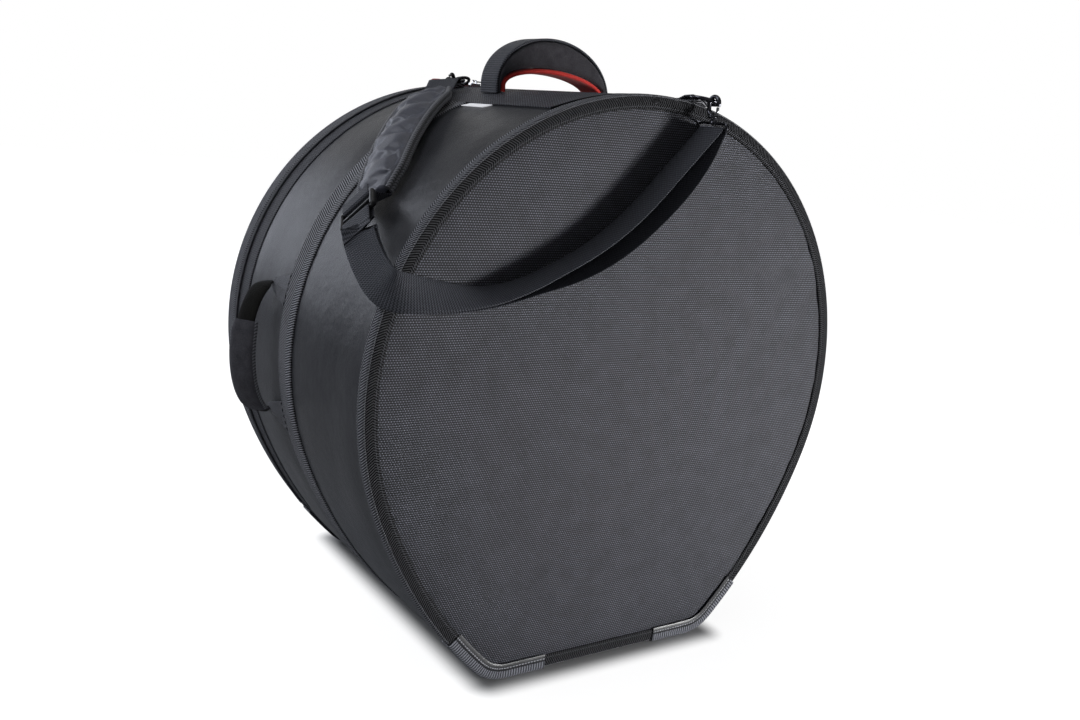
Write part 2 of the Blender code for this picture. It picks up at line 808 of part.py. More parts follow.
def side_arch(sign, turns):
    """Points of the strap's arch, from its upper end to its lower, and the direction of its width."""
    ends = []
    for tip in side_tip_angles:
        spot, _, _ = wall_frame(tip * sign, side_axis_from_centre, side_axis_lift)
        ends.append(spot)
    upper, lower = ends
    middle = (upper + lower) / 2
    chord = (lower - upper) / 2
    out = Vector((-sign, 0.0, 0.0))
    rise = (out * math.sin(side_lean) - Vector((0.0, math.cos(side_lean), 0.0))) * side_rise
    spots = [middle - chord * math.cos(turn) + rise * math.sin(turn) for turn in turns]
    return spots, rise.normalized(), middle, chord


def build_side_handles():
    for hand, sign in (("left", 1), ("right", -1)):
        count = 21
        turns = [math.pi * i / (count - 1) for i in range(count)]
        spots, rise_way, middle, chord = side_arch(sign, turns)
        width_way = chord.cross(rise_way).normalized()
        pivot = joint_empty(f"side_handle_pivot_{hand}", middle)
        foot = chord.normalized()
        widths = []
        for spot in spots:
            reach = (spot - middle - foot * (spot - middle).dot(foot)).length
            foot_width = 2 * side_foot_radius
            widths.append(foot_width + (side_width - foot_width) * min(1.0, reach / side_taper))
        first_foot, foot_widths = round_foot(spots[0], rise_way, side_foot_radius)
        last_foot, _ = round_foot(spots[-1], rise_way, side_foot_radius)
        path = first_foot + spots + last_foot[::-1]
        widths = foot_widths + widths + foot_widths[::-1]
        sides = [width_way] * len(path)
        name = f"side_handle_{hand}"
        place(name, mesh_from(ribbon(path, sides, widths, side_webbing), name), black_webbing, pivot,
              round_angle=math.radians(30.0))
        build_side_grip(hand, sign, spots, width_way, pivot)
        build_gussets(hand, sign)


def build_side_grip(hand, sign, spots, width_way, pivot):
    """Wrap closed round the strap, an oval tube with the strap through it."""
    first = round(grip_start_share * (len(spots) - 1))
    last = round(grip_end_share * (len(spots) - 1))
    outer, inner = [], []
    for i in range(first, last + 1):
        along = (spots[i + 1] - spots[i - 1]).normalized()
        normal = along.cross(width_way)
        ring_out, ring_in = [], []
        for across, up in ((-1, -1), (1, -1), (1, 1), (-1, 1)):
            half_width = side_width / 2 + seam_gap
            half_height = side_webbing / 2 + seam_gap
            corner = spots[i] + width_way * (across * half_width) + normal * (up * half_height)
            ring_in.append(corner)
            eased = grip_wall * grip_corner_share
            ring_out.append(corner + width_way * (across * grip_wall) + normal * (up * eased))
            ring_out.append(corner + width_way * (across * eased) + normal * (up * grip_wall))
        order = (0, 1, 3, 2, 4, 5, 7, 6)
        outer.append([ring_out[k] for k in order])
        inner.append(ring_in)
    name = f"side_grip_{hand}"
    grip = place(name, mesh_from(loft(outer), name), black_velour, pivot, round_angle=math.radians(40.0))
    inner[0] = [a + (a - b) * grip_bore_share for a, b in zip(inner[0], inner[1])]
    inner[-1] = [a + (a - b) * grip_bore_share for a, b in zip(inner[-1], inner[-2])]
    combine(grip, tool_object(loft(inner), f"{name}_bore", pivot), "DIFFERENCE")


def build_gussets(hand, sign):
    """Triangles of folded webbing that carry the strap's ends back to the band."""
    for place_name, tip in (("upper", side_tip_angles[0]), ("lower", side_tip_angles[1])):
        front = band_rear + seam_gap
        rear = side_axis_from_centre + gusset_tip_half_width
        sections = []
        for share in (-1.0, -0.5, 0.0, 0.5, 1.0):
            angle = (tip + share * gusset_half_base) * sign
            reach = rear - (rear - front) * gusset_slope_share * abs(share)
            low, _, _ = wall_frame(angle, front, seam_gap)
            high, _, _ = wall_frame(angle, front, seam_gap + gusset_thickness)
            low_end, _, _ = wall_frame(angle, reach, seam_gap)
            high_end, _, _ = wall_frame(angle, reach, seam_gap + gusset_thickness)
            sections.append([low, high, high_end, low_end])
        name = f"side_gusset_{hand}_{place_name}"
        place(name, mesh_from(loft(sections), name), black_webbing)


# Rings, hooks and shoulder strap

def ring_path(origin, side, out):
    """A D: straight bar through the origin, arc at the far side."""
    points = []
    for hand in (1, -1):
        corner = side * hand * (ring_half_width - ring_corner_radius) + out * ring_corner_radius
        turns = [math.radians(30.0) * i for i in range(4)]
        leg = [origin + corner + side * hand * ring_corner_radius * math.sin(turn)
               - out * ring_corner_radius * math.cos(turn) for turn in turns]
        points.append(leg)
    steps = 14
    bow = []
    for i in range(steps + 1):
        turn = math.pi * i / steps
        bow.append(origin + out * (ring_straight + ring_half_width * math.sin(turn))
                   + side * ring_half_width * math.cos(turn))
    return points[0] + bow + points[1][::-1]


def tab_path(origin, back, normal, length):
    """A webbing loop that holds the ring's bar: out along the case, round the bar and back."""
    radius = ring_wire_radius + seam_gap + webbing_thickness / 2
    turns = [math.radians(30.0) * i for i in range(7)]
    start = origin + back * length - normal * radius
    bend = [origin - normal * radius * math.cos(turn) - back * radius * math.sin(turn) for turn in turns]
    return [start] + bend + [start + normal * 2 * radius]


def build_ring(where, angle, y, base, tab_length, tilt, toward):
    """Ring and tab on the wall; toward is the way the ring points along Y."""
    lift = base + seam_gap + webbing_thickness + seam_gap + ring_wire_radius
    origin, tangent, normal = wall_frame(angle, y, lift)
    straight = Vector((0.0, toward, 0.0))
    out = straight * math.cos(tilt) + normal * math.sin(tilt)
    wire_ring(f"strap_ring_{where}", ring_path(origin, tangent, out), ring_wire_radius, black_nickel)
    spots = tab_path(origin, -straight, normal, tab_length)
    name = f"ring_tab_{where}"
    sides = [tangent] * len(spots)
    widths = [tab_width] * len(spots)
    place(name, mesh_from(ribbon(spots, sides, widths, webbing_thickness), name), black_webbing)
    return origin, tangent, normal, out


def hook_outline():
    """Flat casting: foot, spine, arch and nose around the opening, in u and w."""
    inner = hook_opening / 2
    outer = inner + hook_bar
    turns = [math.pi * i / 10 for i in range(11)]
    inside = [(-inner * math.cos(turn), hook_rise + inner * math.sin(turn)) for turn in turns]
    outside = [(outer * math.cos(turn), hook_rise + outer * math.sin(turn)) for turn in turns]
    foot = [(-outer * hook_foot_back_share, 0.0), (outer * hook_foot_front_share, 0.0), (outer, hook_foot),
            (-inner, hook_foot)]
    nose = [(inner, hook_rise - hook_nose), (outer, hook_rise - hook_nose)]
    return foot + inside + nose + outside + [(-outer, hook_foot)]


def wire_height():
    """Height in the hook at which the ring's wire rests under the arch."""
    return hook_rise + hook_opening / 2 - ring_wire_radius - hook_play


def eye_bar_drop():
    """Distance from the hook's foot down to the bar that holds the webbing."""
    return seam_gap + swivel_length + eye_bar + eye_window + eye_bar / 2


def build_hook(where, frame, eye_frame):
    pivot = joint_empty(f"hook_pivot_{where}", frame.translation)
    body = slab(hook_outline(), hook_thickness)
    body.transform(frame)
    name = f"snap_hook_{where}"
    rounded(place(name, mesh_from(body, name), black_nickel, pivot), hook_edge)
    inner = hook_opening / 2
    low = hook_foot + gate_clearance
    high = hook_rise - hook_nose - seam_gap
    hinge = frame @ Vector((inner + hook_bar * gate_share / 2, 0.0, low + hook_bar * gate_share / 2))
    gate_pivot = joint_empty(f"gate_pivot_{where}", hinge)
    half = hook_thickness * gate_share / 2
    gate = block((inner, -half, low), (inner + hook_bar * gate_share, half, high))
    gate.transform(frame)
    name = f"hook_gate_{where}"
    rounded(place(name, mesh_from(gate, name), bright_nickel, gate_pivot), hook_edge)
    build_eye(where, eye_frame)


def build_eye(where, frame):
    """Swivel eye: a window for the webbing under a short barrel, in the same u and w."""
    half_width = webbing_width / 2 + eye_side_clearance
    outer = half_width + eye_bar
    top = -(seam_gap + swivel_length)
    bottom = top - 2 * eye_bar - eye_window
    plate = block((-outer, -eye_thickness / 2, bottom), (outer, eye_thickness / 2, top))
    plate.transform(frame)
    name = f"swivel_eye_{where}"
    eye = place(name, mesh_from(plate, name), black_nickel)
    window = block((-half_width, -eye_thickness, bottom + eye_bar),
                   (half_width, eye_thickness, top - eye_bar))
    window.transform(frame)
    combine(eye, tool_object(window, f"{name}_window"), "DIFFERENCE")
    barrel = bmesh.new()
    depth = swivel_length + eye_bar / 2
    bmesh.ops.create_cone(barrel, cap_ends=True, segments=16, radius1=swivel_radius, radius2=swivel_radius,
                          depth=depth)
    bmesh.ops.translate(barrel, verts=barrel.verts, vec=(0.0, 0.0, -seam_gap - depth / 2))
    barrel.transform(frame)
    combine(eye, tool_object(barrel, f"{name}_barrel"), "UNION")


def loop_radius():
    """Middle radius of webbing that turns round a square bar."""
    return eye_bar * math.sqrt(2.0) / 2 + seam_gap + webbing_thickness / 2


def strap_loop(spots, sides, spreads, first_radius, last_radius):
    """An endless band round two bars: out along one side of a middle line and back along the other."""
    count = len(spots)
    near, far, ways = [], [], []
    for i in range(count):
        along = (spots[min(i + 1, count - 1)] - spots[max(i - 1, 0)]).normalized()
        side = (sides[i] - along * sides[i].dot(along)).normalized()
        normal = along.cross(side)
        ways.append((along, side, normal))
        near.append((spots[i] - normal * spreads[i], side))
        far.append((spots[i] + normal * spreads[i], side))
    turns = [math.radians(30.0) * k for k in range(1, 6)]
    along, side, normal = ways[-1]
    last_turn = []
    for turn in turns:
        out = along * math.sin(turn) - normal * math.cos(turn)
        last_turn.append((spots[-1] + out * last_radius, side))
    along, side, normal = ways[0]
    first_turn = []
    for turn in turns:
        out = normal * math.cos(turn) - along * math.sin(turn)
        first_turn.append((spots[0] + out * first_radius, side))
    path = near + last_turn + far[::-1] + first_turn
    return [spot for spot, _ in path], [side for _, side in path]


def build_front_ring():
    y = -(half_depth - front_ring_setback)
    base = seam_gap + binding_thickness
    origin, tangent, normal, out = build_ring("front", -ring_angle, y, base, front_tab_length, 0.0, -1.0)
    wire = origin + out * (ring_straight + ring_half_width)
    up = Vector((0.0, 0.0, 1.0))
    gate_way = Vector((0.0, -1.0, 0.0))
    foot = wire - up * wire_height()
    frame = frame_matrix(foot, gate_way, up.cross(gate_way), up)
    eye_y = -(half_depth + front_reach - webbing_width / 2 - eye_side_clearance - eye_bar)
    eye_foot = Vector((foot.x, eye_y, foot.z))
    eye_frame = frame_matrix(eye_foot, gate_way, up.cross(gate_way), up)
    build_hook("front", frame, eye_frame)
    return eye_foot - up * eye_bar_drop()


def build_rear_ring():
    y = zip_line - zip_tape_width - 2 * seam_gap - rear_tab_length
    base = seam_gap + strip_thickness
    origin, tangent, normal, out = build_ring("rear", ring_angle, y, base, rear_tab_length, rear_ring_tilt,
                                              -1.0)
    turn = math.radians(45.0)
    wire = origin + out * (ring_straight + ring_half_width * math.cos(turn)) \
        + tangent * ring_half_width * math.sin(turn)
    away = (tangent - Vector((0.0, 1.0, 0.0))).normalized()
    foot = wire + away * wire_height()
    frame = frame_matrix(foot, normal, (-away).cross(normal), -away)
    across = (-away).cross(normal)
    eye_frame = frame_matrix(foot, across, (-away).cross(across), -away)
    build_hook("rear", frame, eye_frame)
    return foot + away * eye_bar_drop(), -away, across


def even_line(points, count):
    """Points at equal steps along a smooth line through the given ones."""
    fine = smooth_run(points, 12)
    lengths = [0.0]
    for a, b in zip(fine, fine[1:]):
        lengths.append(lengths[-1] + (b - a).length)
    line = []
    k = 0
    for i in range(count):
        aim = lengths[-1] * i / (count - 1)
        while k < len(fine) - 2 and lengths[k + 1] < aim:
            k += 1
        share = (aim - lengths[k]) / (lengths[k + 1] - lengths[k])
        line.append(fine[k].lerp(fine[k + 1], share))
    return line


def wall_normal(spot):
    return Vector((spot.x, 0.0, spot.z - centre_height)).normalized()


def build_pad():
    """Padded shoulder piece that lies over the wall, narrower at its ends."""
    count = 15
    middle_lift = pad_lift + pad_thickness / 2
    line = [wall_frame(angle, share * half_depth, middle_lift)[0] for angle, share in pad_line_shares]
    spots = even_line(line, count)
    sections = []
    for i, spot in enumerate(spots):
        along = (spots[min(i + 1, count - 1)] - spots[max(i - 1, 0)]).normalized()
        side = along.cross(wall_normal(spot)).normalized()
        normal = side.cross(along)
        share = i / (count - 1)
        ease = min(1.0, pad_end_share + (1 - pad_end_share) * min(share, 1 - share) / pad_ease_share)
        half = pad_width / 2 * ease
        rim = pad_thickness * pad_rim_share
        edge = half * pad_edge_share
        top = normal * (pad_thickness / 2 * ease)
        bottom = normal * (pad_thickness / 2)
        sections.append([
            spot - side * half - normal * rim,
            spot - side * edge - bottom,
            spot + side * edge - bottom,
            spot + side * half - normal * rim,
            spot + side * edge + top,
            spot - side * edge + top,
        ])
    place("shoulder_pad", mesh_from(loft(sections), "shoulder_pad"), black_webbing,
          round_angle=math.radians(35.0))
    return spots


def adjuster_frame():
    """Origin, way along the strap, way along the bars, and normal."""
    origin, tangent, normal = wall_frame(adjuster_angle, adjuster_y_share * half_depth, adjuster_offset)
    along = tangent * math.cos(adjuster_tilt) - Vector((0.0, math.sin(adjuster_tilt), 0.0))
    return origin, along, normal.cross(along), normal


def build_adjuster():
    origin, along, side, normal = adjuster_frame()
    frame = frame_matrix(origin, along, side, normal)
    half_width = webbing_width / 2 + eye_side_clearance
    reach = adjuster_bar / 2 + adjuster_window + adjuster_bar
    plate = block((-reach, -half_width - adjuster_side, -adjuster_thickness / 2),
                  (reach, half_width + adjuster_side, adjuster_thickness / 2))
    plate.transform(frame)
    adjuster = place("strap_adjuster", mesh_from(plate, "strap_adjuster"), black_plastic)
    for name, sign in (("rear", -1), ("front", 1)):
        near = sign * adjuster_bar / 2
        far = sign * (adjuster_bar / 2 + adjuster_window)
        window = block((min(near, far), -half_width, -adjuster_thickness),
                       (max(near, far), half_width, adjuster_thickness))
        window.transform(frame)
        combine(adjuster, tool_object(window, f"adjuster_window_{name}"), "DIFFERENCE")
    shift = along * (adjuster_bar + adjuster_window)
    return origin - shift, origin + shift


def fold_round(bar, way, normal, tail):
    """Webbing that goes under a bar and comes back over it: lead, bend and tail."""
    radius = loop_radius()
    turns = [math.radians(30.0) * k for k in range(7)]
    bend = [bar - normal * radius * math.cos(turn) + way * radius * math.sin(turn) for turn in turns]
    return [bend[0] - way * bar_lead] + bend + [bend[-1] - way * tail]


def build_pad_webbing(pad_spots, rear_bar, rear_way, rear_side, near_bar):
    """Webbing under the pad, folded round the rear hook's eye and round the adjuster."""
    _, along, bar_side, plate_normal = adjuster_frame()
    under = pad_thickness / 2 + seam_gap + webbing_thickness
    run = [spot - wall_normal(spot) * under for spot in pad_spots]
    first = fold_round(rear_bar, rear_way, rear_way.cross(rear_side), pad_webbing_tail)[::-1]
    last = fold_round(near_bar, along, plate_normal, pad_webbing_tail / 2)
    path = first + run + last
    sides = []
    for i, spot in enumerate(path):
        if i < len(first):
            sides.append(rear_side)
        elif i >= len(path) - len(last):
            sides.append(bar_side)
        else:
            way = path[i + 1] - path[i - 1]
            sides.append(way.cross(wall_normal(spot)).normalized())
    for i in range(1, len(sides)):
        if sides[i].dot(sides[i - 1]) < 0:
            sides[i] = -sides[i]
    widths = [webbing_width] * len(path)
    place("pad_webbing", mesh_from(ribbon(path, sides, widths, webbing_thickness), "pad_webbing"),
          black_webbing, round_angle=math.radians(30.0))


def build_strap(far_bar, eye_bar_spot):
    """Doubled webbing from the adjuster round the left edge and up across the front to the hook."""
    _, along, bar_side, _ = adjuster_frame()
    spots = [far_bar + along * bar_lead]
    sides = [-bar_side]
    spreads = [loop_radius()]
    for angle, y_share, offset_share, spread_share in strap_on_wall_shares:
        spot, tangent, _ = wall_frame(angle, y_share * half_depth, offset_share * webbing_width)
        spots.append(spot)
        sides.append(-tangent)
        spreads.append(spread_share * webbing_width)
    for x_share, rise_share, turn, spread_share in strap_on_front_shares:
        spread = spread_share * webbing_width
        lean = webbing_width / 2 * math.cos(turn) + (spread + webbing_thickness / 2) * math.sin(turn)
        height = centre_height + rise_share * wall_radius
        spots.append(Vector((x_share * wall_radius, -(half_depth + strap_clearance + lean), height)))
        sides.append(Vector((0.0, math.cos(turn), math.sin(turn))))
        spreads.append(spread)
    spots.append(eye_bar_spot)
    sides.append(Vector((0.0, 1.0, 0.0)))
    spreads.append(loop_radius())
    fine = [far_bar] + smooth_run(spots, strap_steps)
    fine_sides = [-bar_side] + [side.normalized() for side in smooth_run(sides, strap_steps)]
    spread_line = smooth_run([Vector((spread, 0.0, 0.0)) for spread in spreads], strap_steps)
    fine_spreads = [loop_radius()] + [spread.x for spread in spread_line]
    path, path_sides = strap_loop(fine, fine_sides, fine_spreads, spreads[0], spreads[-1])
    widths = [webbing_width] * len(path)
    place("strap_webbing", mesh_from(ribbon(path, path_sides, widths, webbing_thickness, True),
          "strap_webbing"), black_webbing, round_angle=math.radians(30.0))


def build_all():
    build_walls()
    build_front_panel()
    build_edges()
    build_band()
    build_top_strip()
    build_body_zip()
    build_rear_foot()
    build_lid()
    build_sliders()
    build_top_handle()
    build_side_handles()
    front_bar = build_front_ring()
    rear_bar, rear_way, rear_side = build_rear_ring()
    pad_spots = build_pad()
    near_bar, far_bar = build_adjuster()
    build_pad_webbing(pad_spots, rear_bar, rear_way, rear_side, near_bar)
    build_strap(far_bar, front_bar)


build_all()
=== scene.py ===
# %% [markdown]
# Bass drum bag: the frame
#
# The bag was modelled as solids first, and its bodies and joints are packed as a frame. This script dresses
# that frame: it loads it, hides the soft solids and stands detailed pieces in their place. Loading comes
# first, because every piece here rides on one of the frame's bodies.

# %% Load the frame
import bmesh
import bpy
from math import asin, atan2, ceil, copysign, cos, exp, pi, radians, sin, sqrt
from mathutils import Matrix, Vector


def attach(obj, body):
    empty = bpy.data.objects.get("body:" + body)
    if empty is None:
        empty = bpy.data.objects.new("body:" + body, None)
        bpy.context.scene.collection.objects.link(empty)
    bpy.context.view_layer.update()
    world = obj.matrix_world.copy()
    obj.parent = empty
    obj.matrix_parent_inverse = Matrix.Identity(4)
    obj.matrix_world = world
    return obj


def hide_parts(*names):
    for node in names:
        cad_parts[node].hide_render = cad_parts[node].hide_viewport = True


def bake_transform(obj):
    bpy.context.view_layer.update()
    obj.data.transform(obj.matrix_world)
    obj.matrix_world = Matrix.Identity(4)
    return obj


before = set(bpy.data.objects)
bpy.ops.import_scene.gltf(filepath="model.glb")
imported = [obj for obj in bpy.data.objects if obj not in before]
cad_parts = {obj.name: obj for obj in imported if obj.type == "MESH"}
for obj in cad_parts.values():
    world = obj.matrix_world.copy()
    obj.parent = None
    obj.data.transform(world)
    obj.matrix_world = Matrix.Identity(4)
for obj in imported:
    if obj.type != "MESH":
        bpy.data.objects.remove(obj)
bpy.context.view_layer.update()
scene = bpy.context.scene
scene.view_settings.view_transform = "Standard"

# %% [markdown]
# Camera
#
# The picture was taken from the left front, a little above the bag's middle, with the camera leaning by five
# degrees. The place was fitted to the outline of the front panel and to the band on the wall, so the script
# only has to build the three directions of the camera and turn the first two by the lean.

# %% Camera
camera_spot = Vector((-0.70195, -1.05715, 0.59441))
camera_target = Vector((0.02362, 0.02175, 0.30066))
camera_lean = radians(5.127)
focal_length, film_width = 34.88, 36.0


def placed(spot, *axes):
    """A frame at a spot whose three axes look along the given ones."""
    return Matrix.Translation(spot) @ Matrix(axes).transposed().to_4x4()


back = (camera_spot - camera_target).normalized()
level_right = Vector((0.0, 0.0, 1.0)).cross(back).normalized()
level_up = back.cross(level_right)
lean_right = level_right * cos(camera_lean) + level_up * sin(camera_lean)
lean_up = level_up * cos(camera_lean) - level_right * sin(camera_lean)
lens = bpy.data.cameras.new("studio_camera")
lens.lens = focal_length
lens.sensor_width = film_width
camera = bpy.data.objects.new("studio_camera", lens)
camera.matrix_world = placed(camera_spot, lean_right, lean_up, back)
scene.collection.objects.link(camera)
scene.camera = camera
print("camera", [round(value, 3) for value in camera_spot], "lens", round(lens.lens, 2), "mm")

# %% [markdown]
# Colours and nodes
#
# Cloth colours are easiest to note as they look on a screen, while Blender's shaders count in linear light.
# One function turns the first into the second. A second small function adds a node, sets its values and
# joins its inputs, which keeps each material's recipe short enough to read in one go.

# %% Colour and node helpers
def linear(code):
    """A screen colour such as 2b2c30 as linear red, green and blue."""
    shares = [int(code[i:i + 2], 16) / 255 for i in (0, 2, 4)]
    return tuple(s / 12.92 if s <= 0.04045 else ((s + 0.055) / 1.055) ** 2.4 for s in shares)


def add_node(tree, kind, inputs=None, **settings):
    made = tree.nodes.new(kind)
    for name, value in settings.items():
        setattr(made, name, value)
    for name, value in (inputs or {}).items():
        if isinstance(value, bpy.types.NodeSocket):
            tree.links.new(value, made.inputs[name])
        else:
            made.inputs[name].default_value = value
    return made


def maths(tree, operation, a, b=0.0, c=0.0):
    return add_node(tree, "ShaderNodeMath", {0: a, 1: b, 2: c}, operation=operation).outputs[0]


def times(tree, a, b):
    return maths(tree, "MULTIPLY", a, b)


def plus(tree, a, b):
    return maths(tree, "ADD", a, b)


def gap_to(tree, value, middle):
    return maths(tree, "ABSOLUTE", maths(tree, "SUBTRACT", value, middle))


def cell(tree, value, size):
    """The place inside one of many equal cells, from nought to one."""
    return maths(tree, "FRACT", maths(tree, "DIVIDE", value, size))


def diagonal(tree, a, b):
    return maths(tree, "SQRT", plus(tree, maths(tree, "POWER", a, 2.0), maths(tree, "POWER", b, 2.0)))


def smooth_ramp(tree, value, low, high, first=0.0, last=1.0):
    """Goes smoothly from first at low to last at high."""
    inputs = {"Value": value, "From Min": low, "From Max": high, "To Min": first, "To Max": last}
    return add_node(tree, "ShaderNodeMapRange", inputs, interpolation_type="SMOOTHSTEP").outputs[0]


def blend_colours(tree, share, first, second):
    """A mix of two colours, each a code or a socket."""
    made = add_node(tree, "ShaderNodeMix", data_type="RGBA")
    for name, value in (("Factor_Float", share), ("A_Color", first), ("B_Color", second)):
        socket = next(s for s in made.inputs if s.identifier == name)
        if isinstance(value, bpy.types.NodeSocket):
            tree.links.new(value, socket)
        elif isinstance(value, str):
            socket.default_value = (*linear(value), 1.0)
        else:
            socket.default_value = value
    return next(s for s in made.outputs if s.identifier == "Result_Color")


def new_finish(name, roughness, **fixed):
    """An empty finish: its tree, its shader, and fixed values set on the shader's own sockets."""
    made = bpy.data.materials.new(name)
    made.use_nodes = True
    tree = made.node_tree
    shader = tree.nodes["Principled BSDF"]
    shader.inputs["Roughness"].default_value = roughness
    for socket, value in fixed.items():
        shader.inputs[socket.replace("_", " ")].default_value = value
    return made, tree, shader


def object_point(tree):
    return add_node(tree, "ShaderNodeTexCoord").outputs["Object"]


def parted(tree, point):
    return add_node(tree, "ShaderNodeSeparateXYZ", {0: point}).outputs


def speckle(tree, point, size, detail=2.0, rough=0.5):
    """Noise whose blotches are about size metres across."""
    made = add_node(tree, "ShaderNodeTexNoise", {"Vector": point, "Scale": 1.0 / size, "Detail": detail,
                                                 "Roughness": rough})
    return made.outputs["Fac"]


def finished(made, tree, shader, colour, height, depth, roughness=None):
    """Joins a recipe's colour, its height as a bump as deep as depth, and its roughness to the shader."""
    tree.links.new(colour, shader.inputs["Base Color"])
    if roughness is not None:
        tree.links.new(roughness, shader.inputs["Roughness"])
    bump = add_node(tree, "ShaderNodeBump", {"Height": height, "Distance": depth, "Strength": 1.0})
    tree.links.new(bump.outputs[0], shader.inputs["Normal"])
    return made


print("black of the webbing in linear light", [round(value, 4) for value in linear("26262a")])

# %% [markdown]
# Floor and light
#
# The bag stands on white paper that has no edge. The floor is a large grey sheet that glows white for the
# camera alone, as does what lies beyond it, so that the paper doesn't light the bag by itself. The glow
# fades out by distance alone close to the foot, which paints shade round the foot over the bag's own
# shadow there. A small strong lamp stands low at the right front and throws the strap's shadow up to the
# left over the front panel. Broad ones hang over the left, where the satin wall shows its wide soft shine,
# and weaker ones fill in from the front, rear and top.

# %% Floor
world = bpy.data.worlds.new("paper_surround")
world.use_nodes = True
scene.world = world
sky = world.node_tree
sky.nodes.clear()
sky_path = add_node(sky, "ShaderNodeLightPath")
sky_white = add_node(sky, "ShaderNodeBackground", {"Color": (1.0, 1.0, 1.0, 1.0), "Strength": 1.0})
sky_weak = add_node(sky, "ShaderNodeBackground", {"Color": (0.93, 0.96, 1.0, 1.0), "Strength": 0.06})
sky_mix = add_node(sky, "ShaderNodeMixShader", {0: sky_path.outputs["Is Camera Ray"],
                                                1: sky_weak.outputs[0], 2: sky_white.outputs[0]})
add_node(sky, "ShaderNodeOutputWorld", {"Surface": sky_mix.outputs[0]})

paper_grey, middle_glow = 0.50, 0.88
fade_near, fade_far = 0.45, 1.4
foot_shade_near, foot_shade_far = 0.002, 0.036
foot_x, foot_y, foot_middle = 0.150, 0.2125, 0.022
floor_reach = 9.0


def beyond(tree, value, middle, reach):
    """How far a coordinate lies outside a reach about a middle."""
    return maths(tree, "MAXIMUM", maths(tree, "SUBTRACT", gap_to(tree, value, middle), reach), 0.0)


paper, paper_tree, paper_shader = new_finish("white_paper_matt", 0.9, Specular_IOR_Level=0.1)
paper_shader.inputs["Base Color"].default_value = (paper_grey, paper_grey, paper_grey, 1.0)
paper_path = add_node(paper_tree, "ShaderNodeLightPath")
place_x, place_y = parted(paper_tree, object_point(paper_tree))[:2]
paper_reach = diagonal(paper_tree, place_x, place_y)
paper_fade = smooth_ramp(paper_tree, paper_reach, fade_near, fade_far, middle_glow)
from_foot = diagonal(paper_tree, beyond(paper_tree, place_x, 0.0, foot_x),
                     beyond(paper_tree, place_y, foot_middle, foot_y))
# the camera's glow drops to nought at the foot's edge by distance alone, so the floor round the foot is
# darkened as painted shade, on top of its real shadow
painted_foot_shade = smooth_ramp(paper_tree, from_foot, foot_shade_near, foot_shade_far)
paper_glow = times(paper_tree, paper_path.outputs["Is Camera Ray"], times(paper_tree, paper_fade, painted_foot_shade))
paper_shader.inputs["Emission Color"].default_value = (1.0, 1.0, 1.0, 1.0)
paper_tree.links.new(paper_glow, paper_shader.inputs["Emission Strength"])
floor_form = bmesh.new()
bmesh.ops.create_grid(floor_form, x_segments=1, y_segments=1, size=floor_reach)
floor_mesh = bpy.data.meshes.new("paper_floor")
floor_form.to_mesh(floor_mesh)
floor_form.free()
floor_mesh.materials.append(paper)
paper_floor = bpy.data.objects.new("paper_floor", floor_mesh)
scene.collection.objects.link(paper_floor)
print("floor", round(paper_floor.dimensions.x, 1), "m wide")


# %% Lamps
def soft_lamp(name, spot, aim, width, height, power, tint="ffffff"):
    lamp = bpy.data.lights.new(name, "AREA")
    lamp.shape = "RECTANGLE"
    lamp.size = width
    lamp.size_y = height
    lamp.energy = power
    lamp.color = linear(tint)
    holder = bpy.data.objects.new(name, lamp)
    holder.location = spot
    way = Vector(aim) - Vector(spot)
    holder.rotation_euler = way.to_track_quat("-Z", "Y").to_euler()
    scene.collection.objects.link(holder)
    print(name, power, "W")


soft_lamp("right_front_lamp", (1.35, -1.75, 0.22), (0.0, -0.1, 0.35), 0.4, 0.4, 36.0)
soft_lamp("left_top_lamp", (-1.7, 0.3, 1.9), (0.0, 0.0, 0.35), 1.2, 0.8, 12.0, "f3f7ff")
soft_lamp("left_back_lamp", (-1.1, 1.9, 1.0), (0.0, 0.0, 0.35), 0.8, 1.2, 11.5, "eef3ff")
soft_lamp("front_fill_lamp", (-0.9, -2.6, 1.5), (0.0, 0.0, 0.30), 2.0, 1.6, 2.5)
soft_lamp("rear_fill_lamp", (0.7, 3.0, 1.2), (0.0, 0.0, 0.30), 2.0, 1.6, 9.0)
soft_lamp("top_lamp", (0.2, 0.2, 2.3), (0.0, 0.0, 0.30), 1.8, 1.8, 5.0)

# %% [markdown]
# Outline of the case
#
# Every sewn layer of the case follows the same outline: a short flat foot, a tight bend, a long slack flank
# and a round crown. In Blender such a run is made once, as a section that is extruded along the foot and
# then spun about the middle of each bend, one after another, and mirrored. A section spun this way keeps
# its distance from the outline exactly, so all layers fit on each other like real sewn cloth.

# %% Sizes of the case
case_y = 0.02175
wall_radius = 0.3095
centre_height = 0.321
flank_radius = 0.532
flank_angle = radians(20.0)
corner_radius = 0.051
base_height = 0.0038
half_depth = 0.2125
face_outset = 0.2102
zip_line = 0.176
lid_level = 0.0785
seam_gap = 0.0003
webbing_width, webbing_thickness = 0.038, 0.0014
strip_half_angle = radians(22.0)
hands = (("left", 1), ("right", -1))
crown_centre = Vector((0.0, centre_height))
flank_way = Vector((cos(flank_angle), -sin(flank_angle)))
flank_centre = crown_centre + flank_way * (wall_radius - flank_radius)
corner_z = base_height + corner_radius
corner_x = flank_centre.x + sqrt((flank_radius - corner_radius) ** 2 - (corner_z - flank_centre.y) ** 2)
corner_centre = Vector((corner_x, corner_z))
corner_turn = atan2(corner_centre.y - flank_centre.y, corner_centre.x - flank_centre.x)
lid_turn = asin((lid_level - flank_centre.y) / flank_radius)
corner_run = corner_x
flank_run = corner_run + corner_radius * (corner_turn + pi / 2)
crown_run = flank_run + flank_radius * (-flank_angle - corner_turn)
whole_run = crown_run + wall_radius * (pi / 2 + flank_angle)
